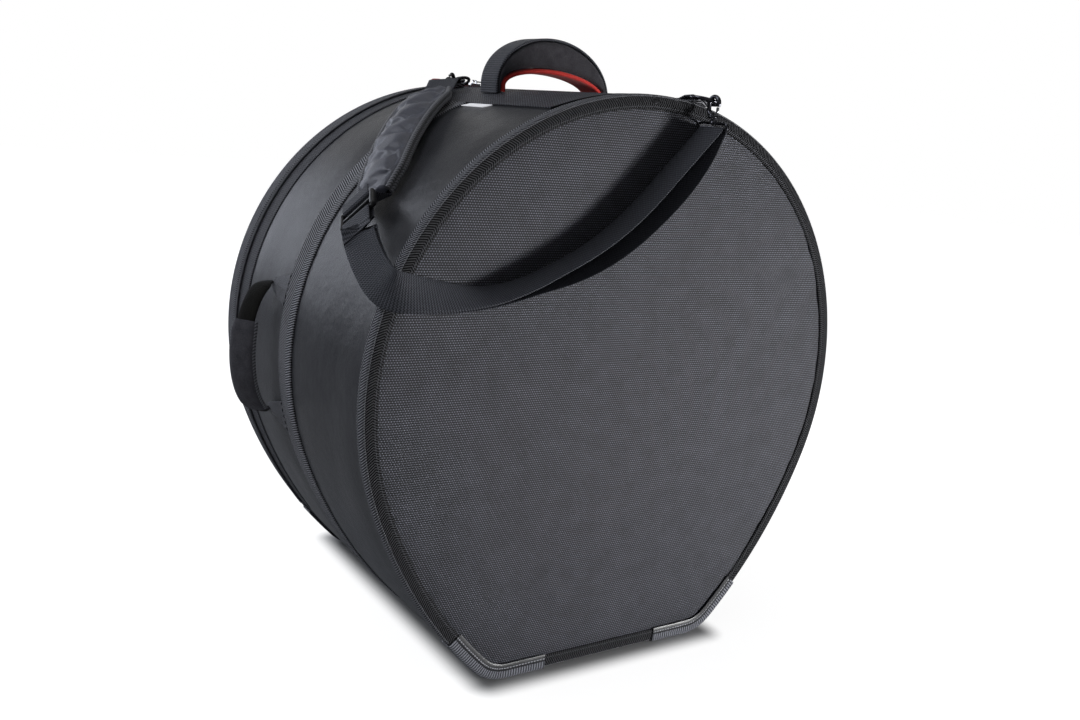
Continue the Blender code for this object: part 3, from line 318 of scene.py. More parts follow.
# for each bend: where it begins and ends along the outline, its centre, its radius and its first angle
corner_leg = (corner_run, flank_run, corner_centre, corner_radius, -pi / 2)
flank_leg = (flank_run, crown_run, flank_centre, flank_radius, corner_turn)
crown_leg = (crown_run, whole_run, crown_centre, wall_radius, -flank_angle)
legs = (corner_leg, flank_leg, crown_leg)
print("half the outline is", round(whole_run, 3), "m long")


# %% Where a point lies along the outline
def turned(steps, low, high):
    """Evenly spaced values from low to high, both included."""
    return [low + (high - low) * i / steps for i in range(steps + 1)]


def full_turn(steps):
    return turned(steps, 0.0, 2 * pi)[:-1]


def along_leg(spot, leg):
    """A spot's angle about a bend's centre, its length along the outline and its distance outside."""
    begin, _, centre, radius, first = leg
    away = spot - centre
    turn = atan2(away.y, away.x)
    return turn, begin + radius * (turn - first), away.length - radius


def run_and_outset(x, z):
    """Length along the outline from the middle of the foot, signed by the side, and distance outside it."""
    side = 1.0 if x >= 0 else -1.0
    spot = Vector((abs(x), z))
    turn, run, outset = along_leg(spot, crown_leg)
    if turn >= -flank_angle:
        return side * run, outset
    turn, run, outset = along_leg(spot, corner_leg)
    if -pi / 2 <= turn <= corner_turn and spot.x >= corner_x:
        return side * run, outset
    if spot.x < corner_x and spot.y < corner_z:
        return side * spot.x, base_height - spot.y
    turn, run, outset = along_leg(spot, flank_leg)
    return side * run, outset


def outline_spot(run, outset):
    """The reverse: the point at a length along the right half of the outline."""
    if run < corner_run:
        return Vector((run, base_height - outset))
    begin, _, centre, radius, first = next(leg for leg in reversed(legs) if run >= leg[0])
    turn = (run - begin) / radius + first
    return centre + Vector((cos(turn), sin(turn))) * (radius + outset)


print("the top of the outline is", [round(value, 4) for value in outline_spot(whole_run, 0.0)])


# %% Carry a section along the outline
facet = 0.010
weld = 0.00001


def of_kind(parts, kind):
    return [part for part in parts if isinstance(part, kind)]


def extruded(form, edges):
    """Extrudes edges; gives the new points and the new edges between them."""
    grown = bmesh.ops.extrude_edge_only(form, edges=edges)["geom"]
    verts = of_kind(grown, bmesh.types.BMVert)
    fresh = set(verts)
    return verts, [edge for edge in of_kind(grown, bmesh.types.BMEdge) if fresh.issuperset(edge.verts)]


def carried(section, start=0.0, stop=whole_run, loop=True, mirrored=True):
    """A section of (outset, y) points spun along the right half of the outline and mirrored to the left."""
    form = bmesh.new()
    spots = [outline_spot(start, outset) for outset, _ in section]
    verts = [form.verts.new((spot.x, y, spot.y)) for spot, (_, y) in zip(spots, section)]
    pairs = list(zip(verts, verts[1:])) + ([(verts[-1], verts[0])] if loop else [])
    edges = [form.edges.new(pair) for pair in pairs]
    first = edges
    if start < corner_run:
        reach = min(stop, corner_run) - start
        steps = max(2, round(reach / (3 * facet)))
        for _ in range(steps):
            verts, edges = extruded(form, edges)
            bmesh.ops.translate(form, verts=verts, vec=(reach / steps, 0.0, 0.0))
    for begin, end, centre, radius, _ in legs:
        low, high = max(begin, start), min(end, stop)
        if high - low < 1e-6:
            continue
        steps = max(2, ceil((high - low) / facet))
        spun = bmesh.ops.spin(form, geom=verts + edges, cent=(centre.x, 0.0, centre.y), axis=(0.0, -1.0, 0.0),
                              angle=(high - low) / radius, steps=steps, use_merge=False)["geom_last"]
        verts, edges = of_kind(spun, bmesh.types.BMVert), of_kind(spun, bmesh.types.BMEdge)
    if loop:
        for ring, open_end in ((first, start > 0.0), (edges, stop < whole_run)):
            if open_end:
                bmesh.ops.contextual_create(form, geom=ring)
    if mirrored:
        bmesh.ops.mirror(form, geom=form.verts[:] + form.edges[:] + form.faces[:], matrix=Matrix.Identity(4),
                         merge_dist=5 * weld, axis="X")
        bmesh.ops.remove_doubles(form, verts=form.verts[:], dist=weld)
    return form


def on_left(form):
    """Turns a form from the right half over to the left."""
    bmesh.ops.scale(form, verts=form.verts[:], vec=(-1.0, 1.0, 1.0))
    return form


# %% Finish a form as a piece of the bag
def outline_map(x, y, z):
    """Pattern coordinates of a layer on the case: along the outline, and over the edge from face to wall."""
    run, outset = run_and_outset(x, z)
    return run, abs(y) - outset


def piece(name, form, finish, body, replaced=(), mapping=None, sharp=40.0):
    """A form at rest in its place, with smooth shading, its pattern map, its ride and what it stands for.

    Points on the bag's middle plane are mapped with the side that their face is on, so no face spans both.
    """
    bmesh.ops.recalc_face_normals(form, faces=form.faces[:])
    if form.calc_volume(signed=True) < 0:
        bmesh.ops.reverse_faces(form, faces=form.faces[:])
    if mapping:
        layer = form.loops.layers.uv.new("UVMap")
        for face in form.faces:
            beside = copysign(0.000001, face.calc_center_median().x)
            for corner in face.loops:
                x, y, z = corner.vert.co
                corner[layer].uv = mapping(x if abs(x) > abs(beside) else beside, y, z)
    bmesh.ops.translate(form, verts=form.verts[:], vec=(0.0, case_y, 0.0))
    mesh = bpy.data.meshes.new(name)
    form.to_mesh(mesh)
    form.free()
    mesh.materials.append(finish)
    mesh.shade_smooth()
    if sharp:
        mesh.set_sharp_from_angle(angle=radians(sharp))
    item = bpy.data.objects.new(name, mesh)
    scene.collection.objects.link(item)
    if body:
        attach(item, body)
    if replaced:
        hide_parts(*replaced)
    print(name, len(mesh.polygons), "faces")
    return item


# %% [markdown]
# Ballistic nylon
#
# The front, the lid and the strip over the top are ballistic nylon: thick bundles of yarn in a basket weave,
# so that small pillows of warp and weft lie like a chessboard. Two fractions of the position give the place
# inside one pillow, and the parity of the two whole numbers tells which way its yarns run. The same height
# serves the bump and the colour, because the crowns of the pillows shine and the pits stay dark.

# %% Ballistic nylon
def cell_place(tree, value, size):
    """Number of the cell and the place inside it for a coordinate."""
    scaled = maths(tree, "DIVIDE", value, size)
    return maths(tree, "FLOOR", scaled), maths(tree, "FRACT", scaled)


def pillow(tree, place):
    """A rounded crown between nought and one over a cell."""
    return maths(tree, "SINE", times(tree, place, pi))


# the bundles are drawn coarser than those of such a cloth, so that they show in the render
bundle_width, bundle_length = 0.0014, 0.0024


def ballistic_nylon(name, across, along):
    """Basket weave; across and along name the two axes in which its bundles lie."""
    made, tree, shader = new_finish(name, 0.55, Specular_IOR_Level=0.45, IOR=1.5)
    point = object_point(tree)
    axes = parted(tree, point)
    column, u = cell_place(tree, axes[across], bundle_width)
    row, v = cell_place(tree, axes[along], bundle_length)
    parity = maths(tree, "PINGPONG", plus(tree, column, row), 1.0)
    warp = times(tree, pillow(tree, u), pillow(tree, v))
    weft = times(tree, pillow(tree, v), maths(tree, "POWER", pillow(tree, u), 0.45))
    weft_part = times(tree, maths(tree, "SUBTRACT", 1.0, parity), 0.55)
    height = maths(tree, "MAXIMUM", times(tree, warp, parity), times(tree, weft, weft_part))
    patches = speckle(tree, point, 0.020, 3.0)
    fibres = speckle(tree, point, 0.0009, 1.0)
    crown = maths(tree, "POWER", height, 2.3)
    share = times(tree, crown, maths(tree, "MULTIPLY_ADD", fibres, 0.7, times(tree, patches, 0.5)))
    return finished(made, tree, shader, blend_colours(tree, share, "0a0a0c", "c9cce0"), height, 0.00045,
                    maths(tree, "MULTIPLY_ADD", height, -0.12, 0.60))


panel_nylon = ballistic_nylon("ballistic_nylon_basket_weave", 0, 2)
strip_nylon = ballistic_nylon("ballistic_nylon_over_the_top", 0, 1)
print(panel_nylon.name, len(panel_nylon.node_tree.nodes), "nodes")

# %% [markdown]
# Satin nylon
#
# The wall is a thin satin nylon with a fine cross rib. At this distance the rib only widens the shine, and
# what the eye reads is the broad soft highlight and the slight unevenness of cloth over foam. So the recipe
# is a fairly smooth shader, a shallow rib in the bump and large faint blotches in the roughness.

# %% Satin nylon
# the rib is drawn coarser than that of such a cloth, so that it shows in the render
rib_width = 0.0012


def satin_nylon(name, base, light, roughness):
    made, tree, shader = new_finish(name, roughness, Specular_IOR_Level=0.62, IOR=1.5,
                                    Sheen_Weight=0.10, Sheen_Roughness=0.4)
    shader.inputs["Sheen Tint"].default_value = (*linear("b9c0cc"), 1.0)
    point = object_point(tree)
    blotch = speckle(tree, point, 0.055, 3.0)
    grain = speckle(tree, point, 0.0011)
    uneven = speckle(tree, point, 0.022)
    crinkle = speckle(tree, point, 0.0045)
    rib = maths(tree, "SINE", times(tree, parted(tree, point)[1], 2 * pi / rib_width))
    share = maths(tree, "MULTIPLY_ADD", grain, 0.5, times(tree, blotch, 0.5))
    height = plus(tree, times(tree, rib, 0.05), times(tree, grain, 0.12))
    height = maths(tree, "MULTIPLY_ADD", crinkle, 0.16, height)
    return finished(made, tree, shader, blend_colours(tree, share, base, light), plus(tree, height, uneven),
                    0.0009, maths(tree, "MULTIPLY_ADD", blotch, 0.14, roughness - 0.07))


wall_nylon = satin_nylon("satin_nylon_wall", "1d1d22", "292a30", 0.40)
strap_nylon = satin_nylon("satin_nylon_strap", "44454d", "6d6f7b", 0.40)
lining_nylon = satin_nylon("brushed_nylon_lining", "3a3a3e", "4a4a4f", 0.75)
print(wall_nylon.name, strap_nylon.name, lining_nylon.name)

# %% [markdown]
# Braid, webbing and tape
#
# The bindings are herringbone braid, and the band, the straps and the tapes are woven webbing. Both are
# drawn on the piece's own map, in metres along and across it, because the pattern follows the strip round
# every bend. Herringbone is a row of slanted stripes whose slant flips after a set width: folding the cross
# coordinate back and forth at that width, before the stripes are cut, does just that. Rows of stitches are
# short raised dashes at named distances across.

# %% Strip patterns
stitch_thread = "5a5b60"
# size of the light dots along the crest of a binding's fold, a painted highlight
ridge_highlight_dash = (0.0017, 0.0016)


def map_axes(tree):
    return parted(tree, add_node(tree, "ShaderNodeUVMap", uv_map="UVMap").outputs[0])


def herringbone(tree, along, across, pitch, fold, slant=1.0):
    """Rounded slanted ribs; fold is the width after which the slant flips, slant how far they lean."""
    folded = times(tree, maths(tree, "PINGPONG", across, fold), slant)
    return pillow(tree, cell(tree, plus(tree, along, folded), pitch))


def stitch_rows(tree, along, across, rows, length=0.0026, width=0.0007):
    """Rows of dashes at distances across; one in the stitches and nought elsewhere."""
    dash = maths(tree, "GREATER_THAN", cell(tree, along, length * 1.45), 0.31)
    found = None
    for row in rows:
        near = maths(tree, "LESS_THAN", gap_to(tree, across, row), width / 2)
        found = near if found is None else maths(tree, "MAXIMUM", found, near)
    return times(tree, dash, found)


def braid(name, base, light, pitch, fold, depth, rows=(), roughness=0.6, face_from=None, slant=1.0):
    """Ribs with stitch rows; past face_from across, on a binding's face side, its colour is darkened as
    painted shade.
    """
    made, tree, shader = new_finish(name, roughness, Specular_IOR_Level=0.10, IOR=1.5)
    along, across = map_axes(tree)[:2]
    ribs = herringbone(tree, along, across, pitch, fold, slant)
    fuzz = speckle(tree, object_point(tree), 0.0016)
    # the colour follows the rib height, crowns light and grooves dark: painted highlight and painted shade
    # over the braid's own dark colour
    share = times(tree, maths(tree, "POWER", ribs, 2.2), maths(tree, "MULTIPLY_ADD", fuzz, 0.8, 0.3))
    if face_from:
        # the face side of the binding is darkened in colour: painted shade, standing in for the wall side
        # being lit more by the lamps
        face_side_shade = maths(tree, "GREATER_THAN", across, face_from)
        share = times(tree, share, maths(tree, "MULTIPLY_ADD", face_side_shade, -0.80, 1.0))
        # the fold's rib tips along the crest are drawn as light dots: painted highlight on the ridge
        ridge_highlight_dots = stitch_rows(tree, along, across, (face_from,), *ridge_highlight_dash)
        share = maths(tree, "MAXIMUM", share, times(tree, ridge_highlight_dots, 0.55))
    colour, height = blend_colours(tree, share, base, light), ribs
    if rows:
        sewn = stitch_rows(tree, along, across, rows)
        colour = blend_colours(tree, sewn, colour, stitch_thread)
        unsewn = times(tree, ribs, maths(tree, "SUBTRACT", 1.0, sewn))
        height = maths(tree, "MULTIPLY_ADD", sewn, 0.9, unsewn)
    return finished(made, tree, shader, colour, height, depth)


# the ribs are drawn coarser than those of such webbing, so that they show in the render
rib_pitch, tape_pitch, binding_fold, band_fold = 0.0028, 0.0026, 0.0200, 0.0500
edge_braid = braid("herringbone_braid_binding", "030304", "c4c5cc", rib_pitch, binding_fold, 0.0013,
                   (0.1985, 0.2225), roughness=0.75, face_from=0.2112, slant=0.6)
band_webbing = braid("herringbone_webbing_band", "070708", "d2d3da", rib_pitch, band_fold, 0.0014,
                     (-0.0125, 0.0205), slant=0.35)
zip_tape_cloth = braid("woven_zip_tape", "0c0c0d", "a0a1a8", tape_pitch, 0.0035, 0.0010, (0.1480, 0.1855))
strap_webbing_cloth = braid("pebbled_strap_webbing", "35363b", "74767e", tape_pitch, 0.0013, 0.0004,
                            roughness=0.45)
gusset_webbing = braid("herringbone_gusset_webbing", "070708", "d2d3da", rib_pitch, band_fold, 0.0014,
                       slant=0.35)
print(edge_braid.name, band_webbing.name, zip_tape_cloth.name)

# %% [markdown]
# Vinyl, plush, metal, plastic and small trims
#
# The corner shells are glossy moulded vinyl with a ribbed edge, the grips are short plush that drinks the
# light, the hooks are cast metal with a dark nickel plate, and the adjuster and the zip coil are moulded
# plastic. Each gets the shine that its making leaves, and a fine unevenness so that no highlight is
# perfectly clean.

# %% Vinyl and plush
# the shell's ribs are drawn coarser than real ones, so that they show in the render
vinyl_rib = 0.0033


def vinyl(name):
    made, tree, shader = new_finish(name, 0.38, Specular_IOR_Level=0.45, IOR=1.53, Coat_Weight=0.10,
                                    Coat_Roughness=0.3)
    along, across = map_axes(tree)[:2]
    point = object_point(tree)
    pebble = speckle(tree, point, 0.0013)
    scuffs = speckle(tree, point, 0.012, 4.0, 0.65)
    on_edge = maths(tree, "LESS_THAN", gap_to(tree, across, half_depth), 0.0085)
    rib = pillow(tree, cell(tree, along, vinyl_rib))
    sewn = stitch_rows(tree, along, across, (0.2240, 0.1968), 0.0027, 0.0013)
    height = maths(tree, "MULTIPLY_ADD", times(tree, rib, on_edge), 1.2, times(tree, pebble, 0.25))
    # the crowns of the edge ribs are coloured light: painted highlight
    rib_crown_highlight = times(tree, maths(tree, "POWER", rib, 1.6), on_edge)
    colour = blend_colours(tree, scuffs, "17181b", "2c2e33")
    colour = blend_colours(tree, times(tree, rib_crown_highlight, 0.85), colour, "a0a2ac")
    return finished(made, tree, shader, blend_colours(tree, sewn, colour, "a6a7ae"), plus(tree, height, sewn),
                    0.0006, maths(tree, "MULTIPLY_ADD", scuffs, 0.25, 0.24))


def plush(name, base, light):
    made, tree, shader = new_finish(name, 0.95, Specular_IOR_Level=0.15, Sheen_Weight=0.55,
                                    Sheen_Roughness=0.35)
    shader.inputs["Sheen Tint"].default_value = (*linear("8a8a90"), 1.0)
    point = object_point(tree)
    pile = speckle(tree, point, 0.0014, 3.0, 0.7)
    brushed = speckle(tree, point, 0.010)
    share = maths(tree, "MULTIPLY_ADD", pile, 0.6, times(tree, brushed, 0.4))
    return finished(made, tree, shader, blend_colours(tree, share, base, light), pile, 0.0011)


corner_vinyl = vinyl("moulded_vinyl_corner")
grip_plush = plush("short_plush_grip", "0b0a0b", "605e64")
side_plush = plush("short_plush_side_grip", "08080a", "7d7c83")
handle_velour = plush("velour_handle_tube", "0d0d0d", "343330")
print(corner_vinyl.name, grip_plush.name)


# %% Metal, plastic, cord, red lining and tag
# the coil's turns are drawn coarser than real ones, so that they show in the render
coil_turn = 0.0017


def plated(name, base, roughness, wear):
    made, tree, shader = new_finish(name, roughness, Metallic=1.0)
    point = object_point(tree)
    handled = speckle(tree, point, 0.006, 3.0, 0.6)
    colour = blend_colours(tree, times(tree, handled, 0.35), base, wear)
    return finished(made, tree, shader, colour, speckle(tree, point, 0.0022), 0.00006,
                    maths(tree, "MULTIPLY_ADD", handled, 0.16, roughness - 0.08))


def moulded(name, base, light, roughness, stripe=0.0):
    made, tree, shader = new_finish(name, roughness, Specular_IOR_Level=0.55, IOR=1.49)
    point = object_point(tree)
    colour = blend_colours(tree, speckle(tree, point, 0.004, 3.0), base, light)
    height = speckle(tree, point, 0.0008)
    if stripe:
        turns = pillow(tree, cell(tree, map_axes(tree)[0], stripe))
        height = maths(tree, "MULTIPLY_ADD", turns, 3.0, height)
    return finished(made, tree, shader, colour, height, 0.0002)


def yarn(name, base, light, size, roughness=0.7):
    made, tree, shader = new_finish(name, roughness, Specular_IOR_Level=0.4, Sheen_Weight=0.2)
    along, across = map_axes(tree)[:2]
    plait = herringbone(tree, along, across, size, size)
    fuzz = speckle(tree, object_point(tree), 0.0012)
    # the colour follows the plait's height, crowns light and hollows dark: painted highlight and painted
    # shade
    share = times(tree, plait, maths(tree, "MULTIPLY_ADD", fuzz, 0.6, 0.4))
    return finished(made, tree, shader, blend_colours(tree, share, base, light), plait, 0.00025)


dark_nickel = plated("cast_dark_nickel", "3c3c42", 0.24, "9a9aa0")
bright_nickel = plated("polished_nickel", "c9cacd", 0.20, "8f9094")
adjuster_plastic = moulded("moulded_black_acetal", "101012", "1c1c1f", 0.32)
coil_plastic = moulded("woven_nylon_coil", "3a3b40", "6c6d74", 0.38, coil_turn)
cord_yarn = yarn("plaited_cord", "77787c", "c2c3c6", 0.0016)
piping_braid = yarn("braided_piping", "08080a", "a2a3aa", 0.0036)
red_cloth = yarn("red_nylon_lining", "d01512", "ff4a40", 0.0012, 0.55)
glowing_tag_satin = yarn("whitened_satin_tag", "f0f0f2", "ffffff", 0.0006, 0.45)
# the tag's satin glows a little although it is no lamp: painted light that keeps it white where the lamps
# leave it in shade
tag_glow_shader = glowing_tag_satin.node_tree.nodes["Principled BSDF"]
tag_glow_shader.inputs["Emission Color"].default_value = (0.93, 0.95, 1.0, 1.0)
tag_glow_shader.inputs["Emission Strength"].default_value = 0.50
print(dark_nickel.name, adjuster_plastic.name, red_cloth.name, glowing_tag_satin.name)

# %% [markdown]
# How cloth lies on the case
#
# Foam pushes the wall out between its seams, and the seams hold it down. So one function says how far the
# wall stands out at any place, with small puckers along the stitched rows, and every layer that lies on the
# wall is moved out by the same amount. That keeps the layers in order without any fitting.

# %% Fullness of the wall
front_seam, band_front, band_rear, zip_seam = -0.1965, -0.0155, 0.0235, 0.1455


def eased(value, low, high):
    """Rises smoothly from nought at low to one at high."""
    share = min(1.0, max(0.0, (value - low) / (high - low)))
    return share * share * (3 - 2 * share)


def wall_fullness(run, y):
    """How far the padded wall stands out beyond its outline."""
    top = eased(whole_run - abs(run), 0.125, 0.175)
    foot = eased(abs(run), flank_run, flank_run + 0.10)
    if y < band_front:
        from_seam = min(y - front_seam, band_front - y)
    else:
        from_seam = min(y - band_rear, zip_seam - y)
    if from_seam <= 0.0:
        return 0.0
    swell = 0.0016 * eased(from_seam, 0.0, 0.028)
    wave = sin(run * 212.0) + sin(run * 143.0 + 1.3) + 0.6 * sin(run * 331.0 + y * 40.0)
    pucker = 0.00022 * wave * exp(-from_seam / 0.014) * eased(from_seam, 0.0, 0.004)
    slack = 0.0009 * sin(run * 17.0 + 2.0 * sin(y * 26.0)) * eased(from_seam, 0.0, 0.05)
    return (swell + pucker + slack) * top * foot


def lifted(form, lift_at):
    """Moves each point of a layer away from the outline by lift_at, a function of run, outset and y."""
    for vert in form.verts:
        run, outset = run_and_outset(vert.co.x, vert.co.z)
        lift = lift_at(run, outset, vert.co.y)
        if lift > 0.0:
            flat = outline_spot(abs(run), outset + lift)
            vert.co.x, vert.co.z = copysign(flat.x, vert.co.x), flat.y
    return form


def settled(form):
    """Moves each point of a layer out by the wall's fullness where it lies."""
    return lifted(form, lambda run, _, y: wall_fullness(run, y))


def wall_map(x, y, z):
    """Pattern coordinates of a layer on the wall: along the outline and across it."""
    return run_and_outset(x, z)[0], y


fullest = max(wall_fullness(run / 100, -0.1) for run in range(100))
print("fullest place of the wall", round(fullest * 1000, 2), "mm")

# %% [markdown]
# Wall
#
# The wall is one width of satin nylon before the band and one behind it. Each is a closed shell: a section
# with several points across its outer side, so that it can swell, carried round the whole outline.

# %% Wall
skin, wall_edge = 0.0014, 0.2096


def shell_section(front, rear, steps=16):
    across = turned(steps, front, rear)
    return [(0.0, y) for y in across] + [(-skin, y) for y in reversed(across)]


for where, front, rear in (("front", -wall_edge, 0.0037), ("rear", 0.004, 0.164)):
    form = settled(carried(shell_section(front, rear)))
    piece(f"satin_wall_{where}", form, wall_nylon, "case", (f"wall_skin_{where}",), wall_map)

# %% [markdown]
# Front panel and lid
#
# A padded panel is pinched flat where the binding grips it and rises in a soft roll just inside. The rim is
# carried round the outline and closed with one face; extruding that face inwards again and again, a little
# smaller and a little further out, gives rings that follow the outline and crown like the real panel. Soft
# folds are then pressed in by name: a place, a direction, a length, a width and a height.

# %% Crowned panels
middle_height = 0.330
pinched_share = 0.966
ring_shares = (0.985, 0.968, 0.960, 0.950, 0.938, 0.922, 0.90, 0.87, 0.83, 0.78, 0.72, 0.65, 0.57, 0.48,
               0.38, 0.27, 0.15, 0.05)


def crown_height(share, full):
    """Height of a padded panel at a share of the way from its middle to its rim."""
    if share > pinched_share:
        return 0.0
    return full * (0.72 * (1 - (share / pinched_share) ** 22) + 0.28 * (1 - share ** 2))


def close_crowned(form, y_edge, full, outward):
    """Closes the open edge at y_edge with rings that crown outwards along Y."""
    rim = [edge for edge in form.edges
           if edge.is_boundary and all(abs(vert.co.y - y_edge) < 1e-6 for vert in edge.verts)]
    face = bmesh.ops.contextual_create(form, geom=rim)["faces"][0]
    centre = Matrix.Translation((0.0, 0.0, -middle_height))
    before, height = 1.0, 0.0
    for share in ring_shares:
        grown = bmesh.ops.extrude_face_region(form, geom=[face])["geom"]
        bmesh.ops.delete(form, geom=[face], context="FACES_ONLY")
        face = of_kind(grown, bmesh.types.BMFace)[0]
        ratio = share / before
        bmesh.ops.scale(form, verts=face.verts[:], vec=(ratio, 1.0, ratio), space=centre)
        rise = crown_height(share, full)
        bmesh.ops.translate(form, verts=face.verts[:], vec=(0.0, outward * (rise - height), 0.0))
        before, height = share, rise
    bmesh.ops.poke(form, faces=[face])
    return form


def panel_form(outset, y_back, y_face, full):
    """A closed padded panel whose face looks away from the middle of the case."""
    outward = 1.0 if y_face > y_back else -1.0
    form = carried([(outset, y_back), (outset, y_face)], loop=False)
    close_crowned(form, y_face, full, outward)
    close_crowned(form, y_back, 0.0, -outward)
    return form


def cup_form(outer, inner, y_mouth, y_outside, y_inside, full=0.0):
    """A cup with a rounded lip at y_mouth and a bottom between y_outside and y_inside."""
    toward = 1.0 if y_mouth > y_outside else -1.0
    lip = (outer - inner) / 2
    lip_y = y_mouth - toward * lip
    section = [(outer, y_outside), (outer, (y_outside + y_mouth) / 2), (outer, lip_y)]
    section += [((outer + inner) / 2 + lip * cos(turn), lip_y + toward * lip * sin(turn))
                for turn in turned(6, 0.0, pi)[1:-1]]
    section += [(inner, lip_y), (inner, (y_inside + y_mouth) / 2), (inner, y_inside)]
    form = carried(section, loop=False)
    close_crowned(form, y_outside, full, -toward)
    close_crowned(form, y_inside, 0.0015, toward)
    return form


def cut_level(form, level, keep_above):
    """Cuts a closed form at a height and closes the cut."""
    parts = form.verts[:] + form.edges[:] + form.faces[:]
    cut = bmesh.ops.bisect_plane(form, geom=parts, dist=weld, plane_co=(0.0, 0.0, level),
                                 plane_no=(0.0, 0.0, 1.0), clear_inner=keep_above, clear_outer=not keep_above)
    bmesh.ops.edgenet_fill(form, edges=of_kind(cut["geom_cut"], bmesh.types.BMEdge))
    return form


# %% Folds pressed into the panels
# place across, place up, direction, length, width, height
front_folds = (
    (0.262, 0.455, radians(20.0), 0.060, 0.009, 0.0017),
    (0.272, 0.410, radians(8.0), 0.050, 0.008, -0.0014),
    (0.235, 0.505, radians(35.0), 0.060, 0.010, 0.0015),
    (0.190, 0.085, radians(150.0), 0.060, 0.010, 0.0018),
    (0.215, 0.135, radians(160.0), 0.050, 0.010, -0.0014),
    (-0.170, 0.100, radians(30.0), 0.060, 0.012, 0.0013),
    (0.020, 0.180, radians(4.0), 0.160, 0.045, 0.0008),
    (-0.110, 0.330, radians(80.0), 0.130, 0.050, -0.0008),
    (0.120, 0.330, radians(100.0), 0.140, 0.050, 0.0007),
)


def fold_height(x, z, folds):
    total = 0.0
    for fold_x, fold_z, turn, length, width, height in folds:
        along = (x - fold_x) * cos(turn) + (z - fold_z) * sin(turn)
        across = (z - fold_z) * cos(turn) - (x - fold_x) * sin(turn)
        total += height * exp(-(along / length) ** 2 - (across / width) ** 2)
    return total


def press_folds(form, folds, outward, face_y):
    """Moves the crowned side of a panel by its folds and by puckers along the binding."""
    for vert in form.verts:
        if (vert.co.y - face_y) * outward < 0.0002:
            continue
        run, outset = run_and_outset(vert.co.x, vert.co.z)
        wave = sin(run * 190.0) + sin(run * 127.0 + 0.7) + 0.5 * sin(run * 300.0 + 2.0)
        pucker = 0.00030 * wave * exp((outset + 0.014) / 0.016)
        vert.co.y += outward * (fold_height(vert.co.x, vert.co.z, folds) + pucker)
    return form


panel_outset, panel_back = -0.0017, 0.2088
front_swell, lid_swell = 0.0034, 0.0040
form = panel_form(panel_outset, -panel_back, -face_outset, front_swell)
form = press_folds(form, front_folds, -1.0, -face_outset)
piece("front_panel_cover", form, panel_nylon, "case", ("front_panel_skin",), sharp=60.0)
lid_folds = [(-x, z, turn, length, width, height * 0.8) for x, z, turn, length, width, height in front_folds]
form = cut_level(panel_form(panel_outset, panel_back, face_outset, lid_swell), lid_level, True)
form = press_folds(form, lid_folds, 1.0, face_outset)
piece("lid_panel_cover", form, panel_nylon, "lid", ("lid_skin",), sharp=60.0)

# %% [markdown]
# Foam and lining
#
# Behind the covers lie foam and a brushed lining. Seen from inside, with the lid down, only the lining
# shows, drawn over the foam and turned over its edge, so foam and lining are one soft cup in the case and
# one in the lid, each with a rounded lip.

# %% Liners
lining_outset = -0.0147
form = cup_form(panel_outset, lining_outset, y_mouth=0.1637, y_outside=-0.2085, y_inside=-0.1952)
case_liner = piece("case_liner", form, lining_nylon, "case",
                   ("wall_padding", "front_panel_padding", "body_lining"), sharp=50.0)
form = cup_form(panel_outset, lining_outset, y_mouth=0.1885, y_outside=0.2085, y_inside=0.1975)
form = cut_level(form, lid_level, True)
lid_liner = piece("lid_liner", form, lining_nylon, "lid", ("lid_padding", "lid_rim_padding", "lid_lining"),
                  sharp=50.0)
lid_run = flank_run + flank_radius * (lid_turn - corner_turn)
form = carried(shell_section(0.188, wall_edge, 4), start=lid_run)
piece("satin_lid_rim", form, wall_nylon, "lid", ("lid_rim_skin",), wall_map)
form = cup_form(0.0, -0.0137, y_mouth=0.1645, y_outside=face_outset, y_inside=0.1962, full=0.0022)
form = cut_level(form, lid_level - 0.001, False)
piece("rear_sill_cover", form, panel_nylon, "case", ("rear_sill",), sharp=50.0)

# %% [markdown]
# Bindings
#
# A binding is braid folded over the edge and sewn through. Its section is drawn once: a flat run on the
# wall, a rounded ridge over the edge, and a narrower run on the face. The lid's half and the case's half of
# the rear binding are the same section, started and stopped at the lid's lower edge.

# %% Bindings
def edge_section(side, lift, thick, wall_end, face_end, ridge):
    """A section that wraps the wall's edge; lift and thick are measured from the wall and from the face."""
    face = face_outset + lift
    outer = lift + thick
    points = [(lift, wall_end), (outer - 0.0006, wall_end + 0.0001), (outer, wall_end + 0.0012),
              (outer + 0.0002, wall_end + 0.006), (outer, face + thick - ridge - 0.001)]
    points += [(outer - ridge + ridge * cos(turn), face + thick - ridge + ridge * sin(turn))
               for turn in turned(6, 0.0, pi / 2)]
    points += [(-face_end * 0.5, face + thick + 0.0001), (-face_end + 0.0012, face + thick),
               (-face_end + 0.0001, face + thick - 0.0006), (-face_end, face), (lift, face)]
    return [(outset, side * y) for outset, y in points]


binding_front = edge_section(-1.0, seam_gap, 0.0020, wall_end=0.1965, face_end=0.013, ridge=0.0042)
binding_rear = edge_section(1.0, seam_gap, 0.0020, wall_end=0.1875, face_end=0.013, ridge=0.0042)
lid_slit = 0.0015
for name, form, body, node in (
        ("front_binding_braid", carried(binding_front), "case", "front_binding"),
        ("lid_binding_braid", carried(binding_rear, start=lid_run), "lid", "rear_binding_lid"),
        ("foot_binding_braid", carried(binding_rear, stop=lid_run - lid_slit), "case", "rear_binding_base")):
    piece(name, form, edge_braid, body, (node,), outline_map)

# %% [markdown]
# Corner protectors
#
# Four moulded vinyl shells guard the lower corners. Each is the binding's section again, one layer further
# out, carried over the bend and five centimetres up the flank. The ribs of the edge and the stitch rows
# are fine enough to live in the material.

